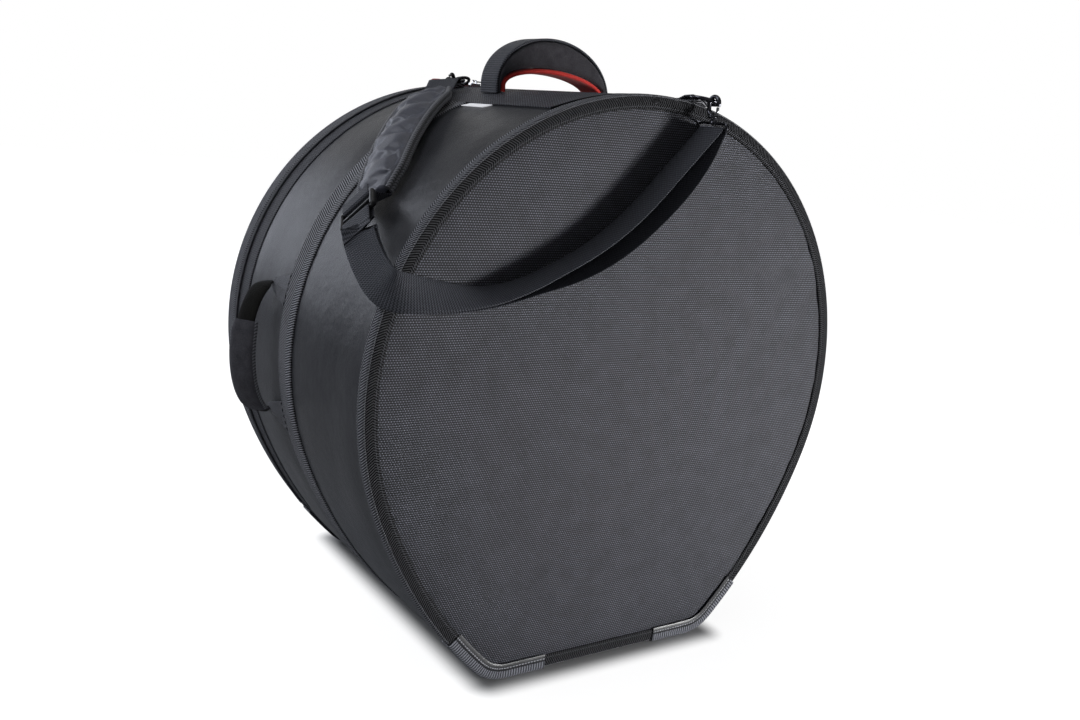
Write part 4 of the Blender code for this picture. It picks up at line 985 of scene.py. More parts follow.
# %% Corner protectors
reach_on_foot, reach_on_flank = 0.051, 0.052
corner_start, corner_stop = corner_run - reach_on_foot, flank_run + reach_on_flank
for side, where, wall_end in ((-1.0, "front", 0.1948), (1.0, "rear", 0.1858)):
    shell = edge_section(side, 0.0026, 0.0012, wall_end, face_end=0.015, ridge=0.0048)
    for hand in ("right", "left"):
        form = carried(shell, start=corner_start, stop=corner_stop, mirrored=False)
        form = form if hand == "right" else on_left(form)
        node = f"corner_protector_{where}_{hand}"
        piece(f"vinyl_corner_{where}_{hand}", form, corner_vinyl, "case", (node,), outline_map)

# %% [markdown]
# Band, top strip and tag
#
# The webbing band runs round the case under the handles, and its ends go under a strip of ballistic nylon
# sewn over the crown. The strip has turned edges, so its section is thicker near its hems. A small blank
# satin tag is caught in its left seam and curls away from the wall at its free edge.

# %% Band and strip
def webbing_section(low, front, rear, thick):
    """A woven strap's section with rounded edges and a slightly sunken middle."""
    points = [(low, front), (low + thick * 0.5, front - 0.0001), (low + thick * 0.9, front + 0.0005)]
    points += [(low + thick * (1.0 - 0.12 * sin(pi * share)), front + (rear - front) * share)
               for share in turned(8, 0.0, 1.0)[1:-1]]
    points += [(low + thick * 0.9, rear - 0.0005), (low + thick * 0.5, rear + 0.0001), (low, rear)]
    return points


strip_start = whole_run - wall_radius * strip_half_angle
strip_edge = strip_start - seam_gap
form = carried(webbing_section(seam_gap, band_front + 0.0005, band_rear - 0.0005, 0.0020), stop=strip_edge)
piece("webbing_band_herringbone", form, band_webbing, "case", ("webbing_band",), wall_map)
hem = [(0.0003, -0.1872), (0.0019, -0.1872), (0.0021, -0.1862), (0.0021, -0.1800)]
hem += [(0.0015, y) for y in turned(18, -0.1785, 0.1369)]
hem += [(0.0021, 0.1384), (0.0021, 0.1444), (0.0019, 0.1454), (0.0003, 0.1454)]


def hem_lift(run, outset, _):
    """The strip's side hems are folded under, so its upper side stands higher there."""
    return 0.0006 * (1.0 - eased(abs(run) - strip_start, 0.006, 0.009)) if outset > 0.001 else 0.0


def tag_curl(run, *_):
    """The tag stands away from the wall at its free edge."""
    return 0.0016 * (abs(strip_edge - run) / 0.011) ** 1.3


form = lifted(carried(hem, start=strip_start), hem_lift)
piece("ballistic_top_strip", form, strip_nylon, "case", ("top_strip",), wall_map)
tag_front, tag_rear, tag_width = -0.072, -0.024, 0.012
tag_middle = (tag_front + tag_rear) / 2
tag_section = [(0.0003, tag_front), (0.0011, tag_front), (0.0011, tag_middle), (0.0011, tag_rear),
               (0.0003, tag_rear), (0.0003, tag_middle)]
form = carried(tag_section, start=strip_edge - tag_width, stop=strip_edge, mirrored=False)
piece("blank_satin_tag", on_left(lifted(form, tag_curl)), glowing_tag_satin, "case", ("blank_tag",), wall_map)

# %% [markdown]
# Zip
#
# The coil zip runs round the case above the lid's hinge line. Its tapes are woven, and each coil is a tube
# whose turns are drawn by the material along its own length. The two sliders keep their solid shape and
# get a metal finish; their pulls are remade with round wire, a plaited cord and a soft red tip.

# %% Zip
coil_radius, coil_shift, coil_outset = 0.0014, 0.00155, 0.0032


def round_section(radius, outset, y, steps=10):
    return [(outset + radius * sin(turn), y + radius * cos(turn)) for turn in full_turn(steps)]


tape_gap = 0.0004
for name, front, rear, body, node in (
        ("zip_tape_on_case", 0.146, zip_line - tape_gap, "case", "zip_tape_body"),
        ("zip_tape_on_lid", zip_line + tape_gap, 0.1872, "lid", "zip_tape_lid")):
    form = carried(webbing_section(seam_gap, front, rear, 0.0012), start=lid_run)
    piece(name, form, zip_tape_cloth, body, (node,), wall_map)
for name, y, body, node in (("zip_coil_on_case", zip_line - coil_shift, "case", "zip_coil_body"),
                            ("zip_coil_on_lid", zip_line + coil_shift, "lid", "zip_coil_lid")):
    form = carried(round_section(coil_radius, coil_outset, y), start=lid_run)
    piece(name, form, coil_plastic, body, (node,), wall_map)


# %% Finishes of the solids that stay
def dress(node, finish):
    """Gives a solid of the frame a finish in place of its plain one."""
    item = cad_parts[node]
    for holder in item.material_slots:
        holder.material = finish
    print(node, "is", finish.name)


for hand in ("left", "right"):
    dress(f"zip_slider_{hand}", bright_nickel)

# %% [markdown]
# Straps and wires along a path
#
# A strap or a bent wire is a section that travels along a path. Each stop of the path gets a frame, a small
# coordinate system whose third axis looks along the path, and the section is extruded from frame to frame.
# The way along and the way across are kept on each point, so that weave and stitching follow the piece.

# %% Travel along a path
def wall_frame(angle, y, outset):
    """Spot, tangent towards the left foot, and outward normal on the round part of the wall."""
    normal = Vector((-sin(angle), 0.0, cos(angle)))
    tangent = Vector((-cos(angle), 0.0, -sin(angle)))
    return Vector((0.0, y, centre_height)) + normal * (wall_radius + outset), tangent, normal


def ways_along(spots, closed=False):
    """The direction of a line at each of its spots."""
    spots = list(spots)
    before, after = (spots[-1], spots[0]) if closed else (spots[0], spots[-1])
    return [(b - a).normalized() for a, b in zip([before] + spots, spots[1:] + [after])]


def path_frames(spots, sides, widths=None, heights=None, closed=False):
    """Frames through spots: across, up and along; sides is one direction or one for each spot."""
    even = [1.0] * len(spots)
    sides = [sides] * len(spots) if isinstance(sides, Vector) else sides
    frames = []
    for spot, side, along, width, height in zip(spots, sides, ways_along(spots, closed), widths or even,
                                                heights or even):
        side = (side - along * side.dot(along)).normalized()
        frames.append(placed(spot, side * width, along.cross(side) * height, along))
    return frames


def swept(section, frames, closed=False):
    """Extrudes a closed section of (across, up) points through frames and lays its pattern map."""
    form = bmesh.new()
    along_layer = form.verts.layers.float.new("along")
    across_layer = form.verts.layers.float.new("across")
    verts = []
    for across, up in section:
        vert = form.verts.new(frames[0] @ Vector((across, up, 0.0)))
        vert[across_layer] = across * frames[0].col[0].length
        verts.append(vert)
    edges = [form.edges.new((verts[i - 1], verts[i])) for i in range(len(verts))]
    first = edges
    run = 0.0
    for before, after in zip(frames, frames[1:]):
        run += (after.translation - before.translation).length
        verts, edges = extruded(form, edges)
        bmesh.ops.transform(form, matrix=after @ before.inverted(), verts=verts)
        for vert in verts:
            vert[along_layer] = run
    if closed:
        bmesh.ops.bridge_loops(form, edges=first + edges)
    else:
        bmesh.ops.contextual_create(form, geom=first)
        bmesh.ops.contextual_create(form, geom=edges)
    layer = form.loops.layers.uv.new("UVMap")
    for face in form.faces:
        for corner in face.loops:
            corner[layer].uv = (corner.vert[along_layer], corner.vert[across_layer])
    return form


def strap_section(width, thick, crown=0.0):
    """A flat strap with rounded edges, its upper side raised by crown."""
    half, flat, bevel = width / 2, width / 2 - thick * 0.4, width / 2 - thick * 0.1
    shares = turned(8, -1.0, 1.0)
    points = [(share * flat, -thick / 2) for share in shares]
    points += [(bevel, -thick * 0.3), (half, 0.0), (bevel, thick * 0.3)]
    points += [(share * flat, thick / 2 + crown * (1 - share * share)) for share in reversed(shares)]
    points += [(-bevel, thick * 0.3), (-half, 0.0), (-bevel, -thick * 0.3)]
    return points


def oval_section(width, height, steps=16, square=1.0):
    """An oval; square below one fills it out towards a box."""
    return [tuple(copysign(abs(share) ** square, share) * size / 2
                  for share, size in ((cos(turn), width), (sin(turn), height)))
            for turn in full_turn(steps)]


def ribbon(spots, sides, width=webbing_width, thick=webbing_thickness, crown=0.0, widths=None):
    """Webbing along spots."""
    return swept(strap_section(width, thick, crown), path_frames(spots, sides, widths))


def wire(spots, sides, width, height, steps, square=1.0, sizes=None, closed=False):
    """An oval bar along spots, which sizes swell or taper."""
    return swept(oval_section(width, height, steps, square), path_frames(spots, sides, sizes, sizes, closed),
                 closed)


def arc(centre, away, up, radius, steps, sweep=pi):
    """Points that start below a centre, as up tells, and turn round it on the side of away."""
    return [centre - (up * cos(turn) - away * sin(turn)) * radius
            for turn in turned(steps, 0.0, sweep)]


def smooth_run(points, steps):
    """Points on a smooth curve through the given ones."""
    run = []
    last = len(points) - 1
    for i in range(last):
        a, b, c, d = points[max(i - 1, 0)], points[i], points[i + 1], points[min(i + 2, last)]
        for step in range(steps):
            t = step / steps
            run.append(0.5 * (2 * b + (c - a) * t + (2 * a - 5 * b + 4 * c - d) * t ** 2
                              + (3 * b - a - 3 * c + d) * t ** 3))
    run.append(points[last])
    return run


def length_of(line):
    return round(sum((b - a).length for a, b in zip(line, line[1:])), 3)


print("a strap's section has", len(strap_section(webbing_width, webbing_thickness)), "points")


# %% Pulls of the zip
pull_height = 0.0091
ring_radius = 0.0052
cord_start, cord_length, tip_length = 0.0114, 0.020, 0.013
zips_meet, slider_gap = radians(2.0), radians(1.62)
for hand, sign in hands:
    spot, tangent, normal = wall_frame(zips_meet + sign * slider_gap, zip_line, 0.0)
    along = tangent * sign
    across = normal.cross(along)
    base = placed(spot, along, across, normal)
    ring = [base @ Vector((ring_radius + ring_radius * cos(turn), ring_radius * sin(turn),
                           pull_height)) for turn in full_turn(28)]
    form = wire(ring, normal, 0.0014, 0.0014, 8, closed=True)
    piece(f"round_pull_ring_{hand}", form, bright_nickel, f"pull_{hand}", (f"pull_ring_{hand}",))
    cord = [base @ Vector((u, 0.0, pull_height)) for u in turned(12, cord_start, cord_start + cord_length)]
    swell = [0.62 + 0.38 * sin(pi * min(1.0, 0.12 + share)) ** 0.4
             for share in turned(12, 0.0, 0.88)]
    form = wire(cord, across, 0.0042, 0.0018, 14, 0.8, swell)
    piece(f"plaited_pull_cord_{hand}", form, cord_yarn, f"pull_{hand}", (f"pull_cord_{hand}",))
    tip_start = cord_start + cord_length + seam_gap
    tip = [base @ Vector((u, 0.0, pull_height)) for u in turned(10, tip_start, tip_start + tip_length)]
    taper = [0.62, 0.86, 0.97, 1.0, 1.0, 1.0, 1.0, 1.0, 0.96, 0.84, 0.55]
    form = wire(tip, across, 0.0062, 0.0034, 16, 0.75, taper)
    piece(f"red_pull_tip_{hand}", form, red_cloth, f"pull_{hand}", (f"pull_tip_{hand}",))

# %% [markdown]
# Cloth that is blown up
#
# Stuffed pieces look right only when the cloth finds its own wrinkles. So a first shape is remeshed evenly,
# turned into cloth that is a little too large for it, held at its seams and blown up from inside. Twenty
# steps are enough. No point may leave its first place by more than a cap, so the piece stays in its space.

# %% Cloth under pressure
cloth_steps = 20


def baked(item):
    """The mesh of an object with its modifiers worked out."""
    return bpy.data.meshes.new_from_object(item.evaluated_get(bpy.context.evaluated_depsgraph_get()))


def puffed(form, voxel, cap, held, growth, pressure=4.0):
    """A closed form as cloth under pressure; held tells which points are sewn down."""
    bmesh.ops.recalc_face_normals(form, faces=form.faces[:])
    first = bpy.data.meshes.new("cloth_first")
    form.to_mesh(first)
    form.free()
    blown = bpy.data.objects.new("cloth_blown", first)
    scene.collection.objects.link(blown)
    even = blown.modifiers.new("even_mesh", "REMESH")
    even.mode = "VOXEL"
    even.voxel_size = voxel
    blown.data = baked(blown)
    blown.modifiers.clear()
    start = [vert.co.copy() for vert in blown.data.vertices]
    seam = blown.vertex_groups.new(name="seam")
    seam.add([i for i, spot in enumerate(start) if held(spot)], 1.0, "REPLACE")
    cloth = blown.modifiers.new("cloth", "CLOTH").settings
    cloth.quality = 6
    cloth.mass = 0.2
    cloth.tension_stiffness = 12.0
    cloth.compression_stiffness = 6.0
    cloth.bending_stiffness = 0.6
    cloth.use_pressure = True
    cloth.uniform_pressure_force = pressure
    cloth.shrink_min = -growth
    cloth.vertex_group_mass = "seam"
    cloth.effector_weights.gravity = 0.0
    for step in range(1, cloth_steps + 1):
        scene.frame_set(step)
    result = baked(blown)
    blown.modifiers.clear()
    blown.data = result
    for vert, spot in zip(result.vertices, start):
        move = vert.co - spot
        vert.co = spot + move * min(1.0, cap / max(move.length, 1e-9))
    finer = blown.modifiers.new("finer", "SUBSURF")
    finer.levels = 1
    smooth = baked(blown)
    scene.frame_set(1)
    bpy.data.objects.remove(blown)
    made = bmesh.new()
    made.from_mesh(smooth)
    furthest = max((vert.co - spot).length for vert, spot in zip(result.vertices, start))
    print("blown up:", len(start), "points, furthest", round(furthest * 1000, 1), "mm")
    return made


# %% [markdown]
# Top handle
#
# The handle is a webbing arch sewn to the band at its feet. A plush crescent fills the arch under the
# webbing, thick in the middle and thin at its ends, and red cloth lines its underside. The crescent is
# stuffed, so its section swells along the arch.

# %% Handle webbing
handle_half_span = 0.078
handle_rise = 0.0592
handle_lean = -0.006
handle_y = 0.004
foot_height = 0.0078
strip_top = wall_radius + 0.0018
foot_angle = asin(handle_half_span / strip_top)
handle_z = centre_height + strip_top * cos(foot_angle) + foot_height
handle_steps = 52


def handle_arch(inset, rise_inset, drop):
    """Half an ellipse inside the handle's, its crown leaning to the left, with straight ends."""
    half_span, rise = handle_half_span - inset, handle_rise - rise_inset
    spots = [Vector((half_span * cos(turn) + handle_lean * sin(turn), handle_y,
                     handle_z + rise * sin(turn))) for turn in turned(handle_steps, 0.0, pi)]
    steps = (1.0, 0.66, 0.33)
    right = [Vector((half_span, handle_y, handle_z - drop * share)) for share in steps]
    left = [Vector((-half_span, handle_y, handle_z - drop * share)) for share in reversed(steps)]
    return right + spots + left


def bent_over(item):
    """Bakes a piece of the handle's place into its own points."""
    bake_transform(item)


webbing_line = handle_arch(0.0, 0.0, foot_height - 0.0006)
form = ribbon(webbing_line, Vector((0.0, 1.0, 0.0)), thick=0.0024)
handle_webbing = piece("handle_webbing_satin", form, strap_webbing_cloth, None, ("handle_webbing",))
bent_over(handle_webbing)
handle_top = max(spot.z for spot in webbing_line)
print("handle stands", round(handle_top, 4), "m high,", length_of(webbing_line), "m of webbing")


# %% Handle grip and lining
def crescent(outer, inner, width, steps, square):
    """A form between two arches, whose section is an oval from the inner arch to the outer one."""
    middles = [(a + b) / 2 for a, b in zip(outer, inner)]
    frames = [placed(middle, Vector((0.0, width, 0.0)), a - b, way)
              for middle, a, b, way in zip(middles, outer, inner, ways_along(middles))]
    return swept(oval_section(1.0, 1.0, steps, square), frames)


grip_outer = handle_arch(0.0014, 0.0014, 0.0070)
grip_inner = handle_arch(0.0052, 0.0328, 0.0055)
form = crescent(grip_outer, grip_inner, webbing_width, 32, 0.42)
for vert in form.verts:
    bulge = copysign(0.0016, vert.co.y - handle_y) if abs(vert.co.y - handle_y) > 0.015 else 0.0
    height = (vert.co.z - handle_z) / handle_rise
    vert.co.y += bulge * sin(pi * min(1.0, max(0.0, height)) ** 0.7)
handle_grip = piece("handle_grip_plush", form, grip_plush, None, ("handle_pad",), sharp=60.0)
bent_over(handle_grip)
lining_outer = handle_arch(0.0053, 0.0329, 0.0052)
lining_inner = handle_arch(0.0120, 0.0396, 0.0050)
form = crescent(lining_outer, lining_inner, webbing_width * 1.01, 28, 0.5)
handle_lining = piece("handle_lining_red", form, red_cloth, None, ("handle_lining",), sharp=60.0)
bent_over(handle_lining)

# %% [markdown]
# Side handles
#
# Each flank has a softer handle: webbing rolled into a tube, wrapped over most of its length in plush with
# piping along both of its seams. Triangles of folded webbing carry the two ends back to the band. The arch
# leans forward over the wall, as it hangs when nobody holds it.

# %% Side handle arches
side_tips = (radians(77.0), radians(104.0))
side_y = 0.0655
side_rise, side_lift = 0.047, 0.0085
side_lean = radians(54.0)
side_width, side_foot_width, side_taper = 0.026, 0.011, 0.014
side_seam = 0.0150
wrap_start, wrap_end = 0.34, 0.86


def side_arch(sign, steps):
    """Spots of the arch from its upper end to its lower one, the way it rises, and half its chord."""
    upper, lower = (wall_frame(tip * sign, side_y, side_lift)[0] for tip in side_tips)
    middle = (upper + lower) / 2
    chord = (lower - upper) / 2
    out = Vector((-sign, 0.0, 0.0))
    rise = (out * sin(side_lean) - Vector((0.0, cos(side_lean), 0.0))) * side_rise
    spots = [middle - chord * cos(turn) + rise * sin(turn) for turn in turned(steps, 0.0, pi)]
    return spots, rise.normalized(), middle, chord


side_steps = 56
for hand, sign in hands:
    spots, rise_way, middle, chord = side_arch(sign, side_steps)
    width_way = chord.cross(rise_way).normalized()
    foot = chord.normalized()
    reach = [(spot - middle - foot * (spot - middle).dot(foot)).length for spot in spots]
    foot_share = side_foot_width / side_width
    widths = [foot_share + (1.0 - foot_share) * min(1.0, distance / side_taper) for distance in reach]
    foot_turns = [radians(value) for value in (-80.0, -55.0, -30.0)]
    lead = [spots[0] + rise_way * side_foot_width / 2 * sin(turn) for turn in foot_turns]
    trail = [spots[-1] + rise_way * side_foot_width / 2 * sin(turn) for turn in reversed(foot_turns)]
    ends = [foot_share * cos(turn) for turn in foot_turns]
    path = lead + spots + trail
    widths = ends + widths + ends[::-1]
    thick = [0.55 + 0.45 * min(1.0, max(0.0, (value - 0.42) / 0.5)) for value in widths]
    form = swept(oval_section(0.0225, 0.0066, 20, 0.85), path_frames(path, width_way, widths, thick))
    piece(f"side_strap_{hand}", form, handle_velour, f"side_handle_{hand}_body", (f"side_handle_{hand}",))
    first, last = round(wrap_start * side_steps), round(wrap_end * side_steps)
    wrap_path = spots[first:last + 1]
    count = len(wrap_path)
    ease = [0.90 + 0.10 * min(1.0, min(i, count - 1 - i) / 3) for i in range(count)]
    form = wire(wrap_path, width_way, 0.0312, 0.0108, 24, 0.72, ease)
    grip = piece(f"side_grip_plush_{hand}", form, side_plush, f"side_handle_{hand}_body",
                 (f"side_grip_{hand}",))
    print("side handle", hand, "is", length_of(path), "m long, its wrap", length_of(wrap_path), "m")
    for edge, way in (("outer", 1.0), ("inner", -1.0)):
        line = [spot + width_way * (way * side_seam * size) for spot, size in zip(wrap_path, ease)]
        form = wire(line, width_way, 0.0038, 0.0046, 10)
        piece(f"side_grip_piping_{hand}_{edge}", form, piping_braid, f"side_handle_{hand}_body")


# %% Gussets
gusset_front, gusset_rear, gusset_width = 0.0233, 0.0695, 0.0368
for hand, sign in hands:
    for level, tip in (("upper", side_tips[0]), ("lower", side_tips[1])):
        shares = turned(14, 0.0, 1.0)
        spots = [wall_frame(tip * sign, gusset_front + (gusset_rear - gusset_front) * share, 0.0013)[0]
                 for share in shares]
        tangent = wall_frame(tip * sign, 0.0, 0.0)[1]
        widths = [(1.0 - share) ** 0.85 + 2 * 0.0040 * share / gusset_width for share in shares]
        form = ribbon(spots, tangent, gusset_width, 0.0018, 0.0004, widths)
        piece(f"folded_gusset_{hand}_{level}", settled(form), gusset_webbing, "case",
              (f"side_gusset_{hand}_{level}",))

# %% [markdown]
# Strap rings
#
# Two D rings of dark nickel wire hold the shoulder strap. Webbing tabs, folded over the straight bar of
# each ring, hold the rings down: one on the front edge at the right of the top, one behind the band at the
# left.

# %% Rings and tabs
ring_half_width = 0.0155
ring_straight = 0.0065
ring_corner = 0.004
ring_wire = 0.004


def ring_path(origin, side, out):
    """Straight bar, two small corners and a bow, as one closed line."""
    corners = []
    for away in (side, -side):
        corner = origin + away * (ring_half_width - ring_corner) + out * ring_corner
        corners.append(arc(corner, away, out, ring_corner, 6, pi / 2))
    bow = arc(origin + out * ring_straight, out, -side, ring_half_width, 26)
    return corners[0] + bow + corners[1][::-1]


def ring_and_tab(where, angle, y, base, tab_length, tilt):
    """A ring on the wall that looks towards the front, and its tab."""
    outset = base + seam_gap + webbing_thickness + seam_gap + ring_wire / 2
    origin, tangent, normal = wall_frame(angle, y, outset)
    straight = Vector((0.0, -1.0, 0.0))
    out = straight * cos(tilt) + normal * sin(tilt)
    form = wire(ring_path(origin, tangent, out), tangent.cross(out), ring_wire, ring_wire, 12, closed=True)
    piece(f"wire_ring_{where}", form, dark_nickel, "case", (f"strap_ring_{where}",))
    radius = ring_wire / 2 + seam_gap + webbing_thickness / 2
    spots = [origin - straight * (tab_length * share) - normal * radius for share in (1.0, 0.5)]
    spots += arc(origin, straight, normal, radius, 10)
    spots += [origin - straight * tab_length / 2 + normal * (radius * 0.7),
              origin - straight * (tab_length - 0.004) - normal * (radius - 0.0016),
              origin - straight * tab_length - normal * (radius - 0.0015)]
    piece(f"folded_ring_tab_{where}", ribbon(spots, tangent, tab_width), gusset_webbing, "case",
          (f"ring_tab_{where}",))
    return origin, tangent, normal, out


ring_angle, ring_tilt = radians(10.3), radians(25.0)
tab_width, front_tab, rear_tab = 0.025, 0.026, 0.0175
rear_tab_end = zip_line - 0.0306
front_ring = ring_and_tab("front", -ring_angle, ring_wire / 2 - half_depth, 0.0023, front_tab, 0.0)
rear_ring = ring_and_tab("rear", ring_angle, rear_tab_end - rear_tab, 0.0015, rear_tab, ring_tilt)
print("rings at", [round(value, 4) for value in front_ring[0]], [round(value, 4) for value in rear_ring[0]])

# %% [markdown]
# Snap hooks
#
# The hooks are small castings: a round bar bent into a hook, a sprung gate across its mouth, and a swivel
# eye below for the webbing. The bar is a wire with a tapered nose, the knob over the swivel is a short
# turned form, and the eye is a wire bent into a long ring.

# %% Snap hooks
hook_inner, hook_bar = 0.005, 0.0045
wire_height = 0.0175
eye_bar, eye_gap, eye_corner = 0.003, 0.001, 0.003
eye_top, eye_drop = 0.0048, 0.0123


def hook_frame(foot, u, w):
    return placed(foot, u, w.cross(u), w)


def knob(profile, base, steps=20):
    """A turned form: (radius, height) points spun about the frame's third axis."""
    form = bmesh.new()
    verts = [form.verts.new((radius, 0.0, height)) for radius, height in profile]
    edges = [form.edges.new(pair) for pair in zip(verts, verts[1:])]
    bmesh.ops.spin(form, geom=verts + edges, cent=(0.0, 0.0, 0.0), axis=(0.0, 0.0, 1.0), angle=2 * pi,
                   steps=steps, use_merge=True)
    bmesh.ops.remove_doubles(form, verts=form.verts[:], dist=weld / 2)
    bmesh.ops.transform(form, matrix=base, verts=form.verts[:])
    return form


def joined(*forms):
    """One form out of several that touch."""
    whole = bmesh.new()
    for form in forms:
        mesh = bpy.data.meshes.new("joining")
        form.to_mesh(mesh)
        form.free()
        whole.from_mesh(mesh)
        bpy.data.meshes.remove(mesh)
    return whole


def build_hook(where, base, eye_base):
    """A snap hook and its gate at one frame, and the swivel eye at another."""
    middle = hook_inner + hook_bar / 2
    line = [(0.0, 0.0006), (-0.0004, 0.0022), (-0.0020, 0.0034), (-0.0048, 0.0048), (-0.0068, 0.0072),
            (-middle, 0.0105)]
    line += [(-middle * cos(turn), 0.015 + middle * sin(turn)) for turn in turned(16, 0.0, pi)]
    line += [(middle, 0.0135), (middle, 0.0121)]
    spots = [base @ Vector((u, 0.0, w)) for u, w in line]
    size = [1.25, 1.22, 1.12, 1.06, 1.02] + [1.0] * (len(spots) - 8) + [0.94, 0.86, 0.66]
    side = (base.to_3x3() @ Vector((0.0, 1.0, 0.0))).normalized()
    bar = wire(spots, side, 0.0048, 0.0044, 14, 0.9, size)
    foot = knob([(0.0, 0.0001), (0.0045, 0.0001), (0.0052, 0.0010), (0.0052, 0.0022), (0.0040, 0.0034),
                 (0.0, 0.0040)], base)
    piece(f"cast_hook_{where}", joined(bar, foot), dark_nickel, f"hook_{where}", (f"snap_hook_{where}",),
          sharp=50.0)
    gate_line = [base @ Vector((middle - 0.0009, 0.0, w))
                 for w in (0.0050, 0.0058, 0.0080, 0.0100, 0.0112, 0.0117)]
    form = wire(gate_line, side, 0.0032, 0.0030, 12, sizes=[0.6, 1.0, 1.0, 1.0, 1.0, 0.6])
    piece(f"hook_gate_pin_{where}", form, bright_nickel, f"gate_{where}", (f"hook_gate_{where}",))
    corner_u = webbing_width / 2 + eye_gap + eye_bar / 2 - eye_corner
    corner_w = (-eye_top - eye_corner, -eye_drop + eye_corner)
    loop = []
    for u, w, low in ((corner_u, corner_w[0], 0.0), (-corner_u, corner_w[0], 90.0),
                      (-corner_u, corner_w[1], 180.0), (corner_u, corner_w[1], 270.0)):
        loop += [eye_base @ Vector((u + eye_corner * cos(turn), 0.0, w + eye_corner * sin(turn)))
                 for turn in turned(6, radians(low), radians(low + 90.0))]
    flat = (eye_base.to_3x3() @ Vector((0.0, 1.0, 0.0))).normalized()
    eye = wire(loop, flat, eye_bar, eye_bar, 12, closed=True)
    barrel = knob([(0.0, -0.0060), (0.0030, -0.0060), (0.0042, -0.0045), (0.0034, -0.0030), (0.0034, -0.0003),
                   (0.0, -0.0003)], eye_base)
    piece(f"swivel_eye_ring_{where}", joined(eye, barrel), dark_nickel, "case", (f"swivel_eye_{where}",),
          sharp=50.0)


up_way = Vector((0.0, 0.0, 1.0))
gate_way = Vector((0.0, -1.0, 0.0))
origin, _, _, out = front_ring
front_foot = origin + out * (ring_straight + ring_half_width) - up_way * wire_height
front_eye_foot = Vector((front_foot.x, -(half_depth + 0.022), front_foot.z))
build_hook("front", hook_frame(front_foot, gate_way, up_way), hook_frame(front_eye_foot, gate_way, up_way))
front_bar = front_eye_foot - up_way * eye_drop
origin, tangent, normal, out = rear_ring
rear_wire = origin + out * ring_straight + (out + tangent) * (ring_half_width * cos(radians(45.0)))
rear_away = (tangent - Vector((0.0, 1.0, 0.0))).normalized()
rear_foot = rear_wire + rear_away * wire_height
rear_across = (-rear_away).cross(normal)
build_hook("rear", hook_frame(rear_foot, normal, -rear_away), hook_frame(rear_foot, rear_across, -rear_away))
rear_bar = rear_foot + rear_away * eye_drop

# %% [markdown]
# Shoulder pad
#
# The pad is a long stuffed pocket of satin, sewn flat along both edges with braided piping. Between the two
# seams the stuffing lifts the cloth, and because the pad is bent over the case, the cloth gathers into
# slanted wrinkles. It is made as a flat pocket that follows the strap's line and is then blown up as cloth.

# %% Line of the pad
# angle on the crown in degrees, and place along the case as a share of half its depth
pad_line_shares = ((23.0, 0.241), (29.5, 0.087), (36.0, -0.067), (43.5, -0.241), (50.5, -0.400),
                   (54.5, -0.480))
pad_lift, pad_half, pad_half_width, pad_seam = 0.0075, 0.006, 0.030, 0.0298
pad_stops = 61


def even_line(points, count):
    """Points at equal steps along a smooth line through the given ones."""
    fine = smooth_run(points, 12)
    lengths = [0.0]
    for a, b in zip(fine, fine[1:]):
        lengths.append(lengths[-1] + (b - a).length)
    line, k = [], 0
    for i in range(count):
        aim = lengths[-1] * i / (count - 1)
        while k < len(fine) - 2 and lengths[k + 1] < aim:
            k += 1
        line.append(fine[k].lerp(fine[k + 1], (aim - lengths[k]) / (lengths[k + 1] - lengths[k])))
    return line


def wall_normal(spot):
    return Vector((spot.x, 0.0, spot.z - centre_height)).normalized()


pad_knots = [wall_frame(radians(angle), share * half_depth, pad_lift + pad_half)[0]
             for angle, share in pad_line_shares]
pad_spots = even_line(pad_knots, pad_stops)
pad_sides = [way.cross(wall_normal(spot)).normalized() for way, spot in zip(ways_along(pad_spots), pad_spots)]
pad_ease = [min(1.0, 0.70 + 0.30 * min(share, 1 - share) * 8) for share in turned(pad_stops - 1, 0.0, 1.0)]
print("pad is", length_of(pad_spots), "m long")


# %% Pad
def pad_section(width, thick):
    """A stuffed pocket: pinched at both seams and full between them."""
    shares = turned(12, -1.0, 1.0)
    points = [(share * width / 2, -thick * (0.10 + 0.40 * (1 - share ** 4))) for share in shares]
    return points + [(share * width / 2, thick * (0.02 + 0.48 * (1 - share ** 4) ** 0.8))
                     for share in shares[-2:0:-1]]


def nearest(spots, point):
    """The number of the spot that is nearest to a point."""
    return min(range(len(spots)), key=lambda i: (point - spots[i]).length_squared)


def wrinkled(form, spots, sides, depth):
    """Presses slanted wrinkles into the upper side of the pad."""
    for vert in form.verts:
        near = nearest(spots, vert.co)
        up = wall_normal(spots[near])
        rise = (vert.co - spots[near]).dot(up)
        if rise < 0.0:
            continue
        across = (vert.co - spots[near]).dot(sides[near]) / pad_half_width
        along = near / (len(spots) - 1)
        edge = max(0.0, 1 - across ** 4)
        wave = sin(along * 62.0 + across * 3.2) + 0.7 * sin(along * 37.0 - across * 2.1 + 1.0)
        wave += 0.5 * sin(along * 101.0 + across * 5.0 + 2.0)
        vert.co += up * (depth * wave * edge * (0.45 + 0.55 * abs(across)))
    return form


def on_pad_seam(spot):
    """True near the two edges of the pad and at its ends."""
    near = nearest(pad_spots, spot)
    across = abs((spot - pad_spots[near]).dot(pad_sides[near])) / (pad_half_width * pad_ease[near])
    return across > 0.86 or near < 1 or near > len(pad_spots) - 2


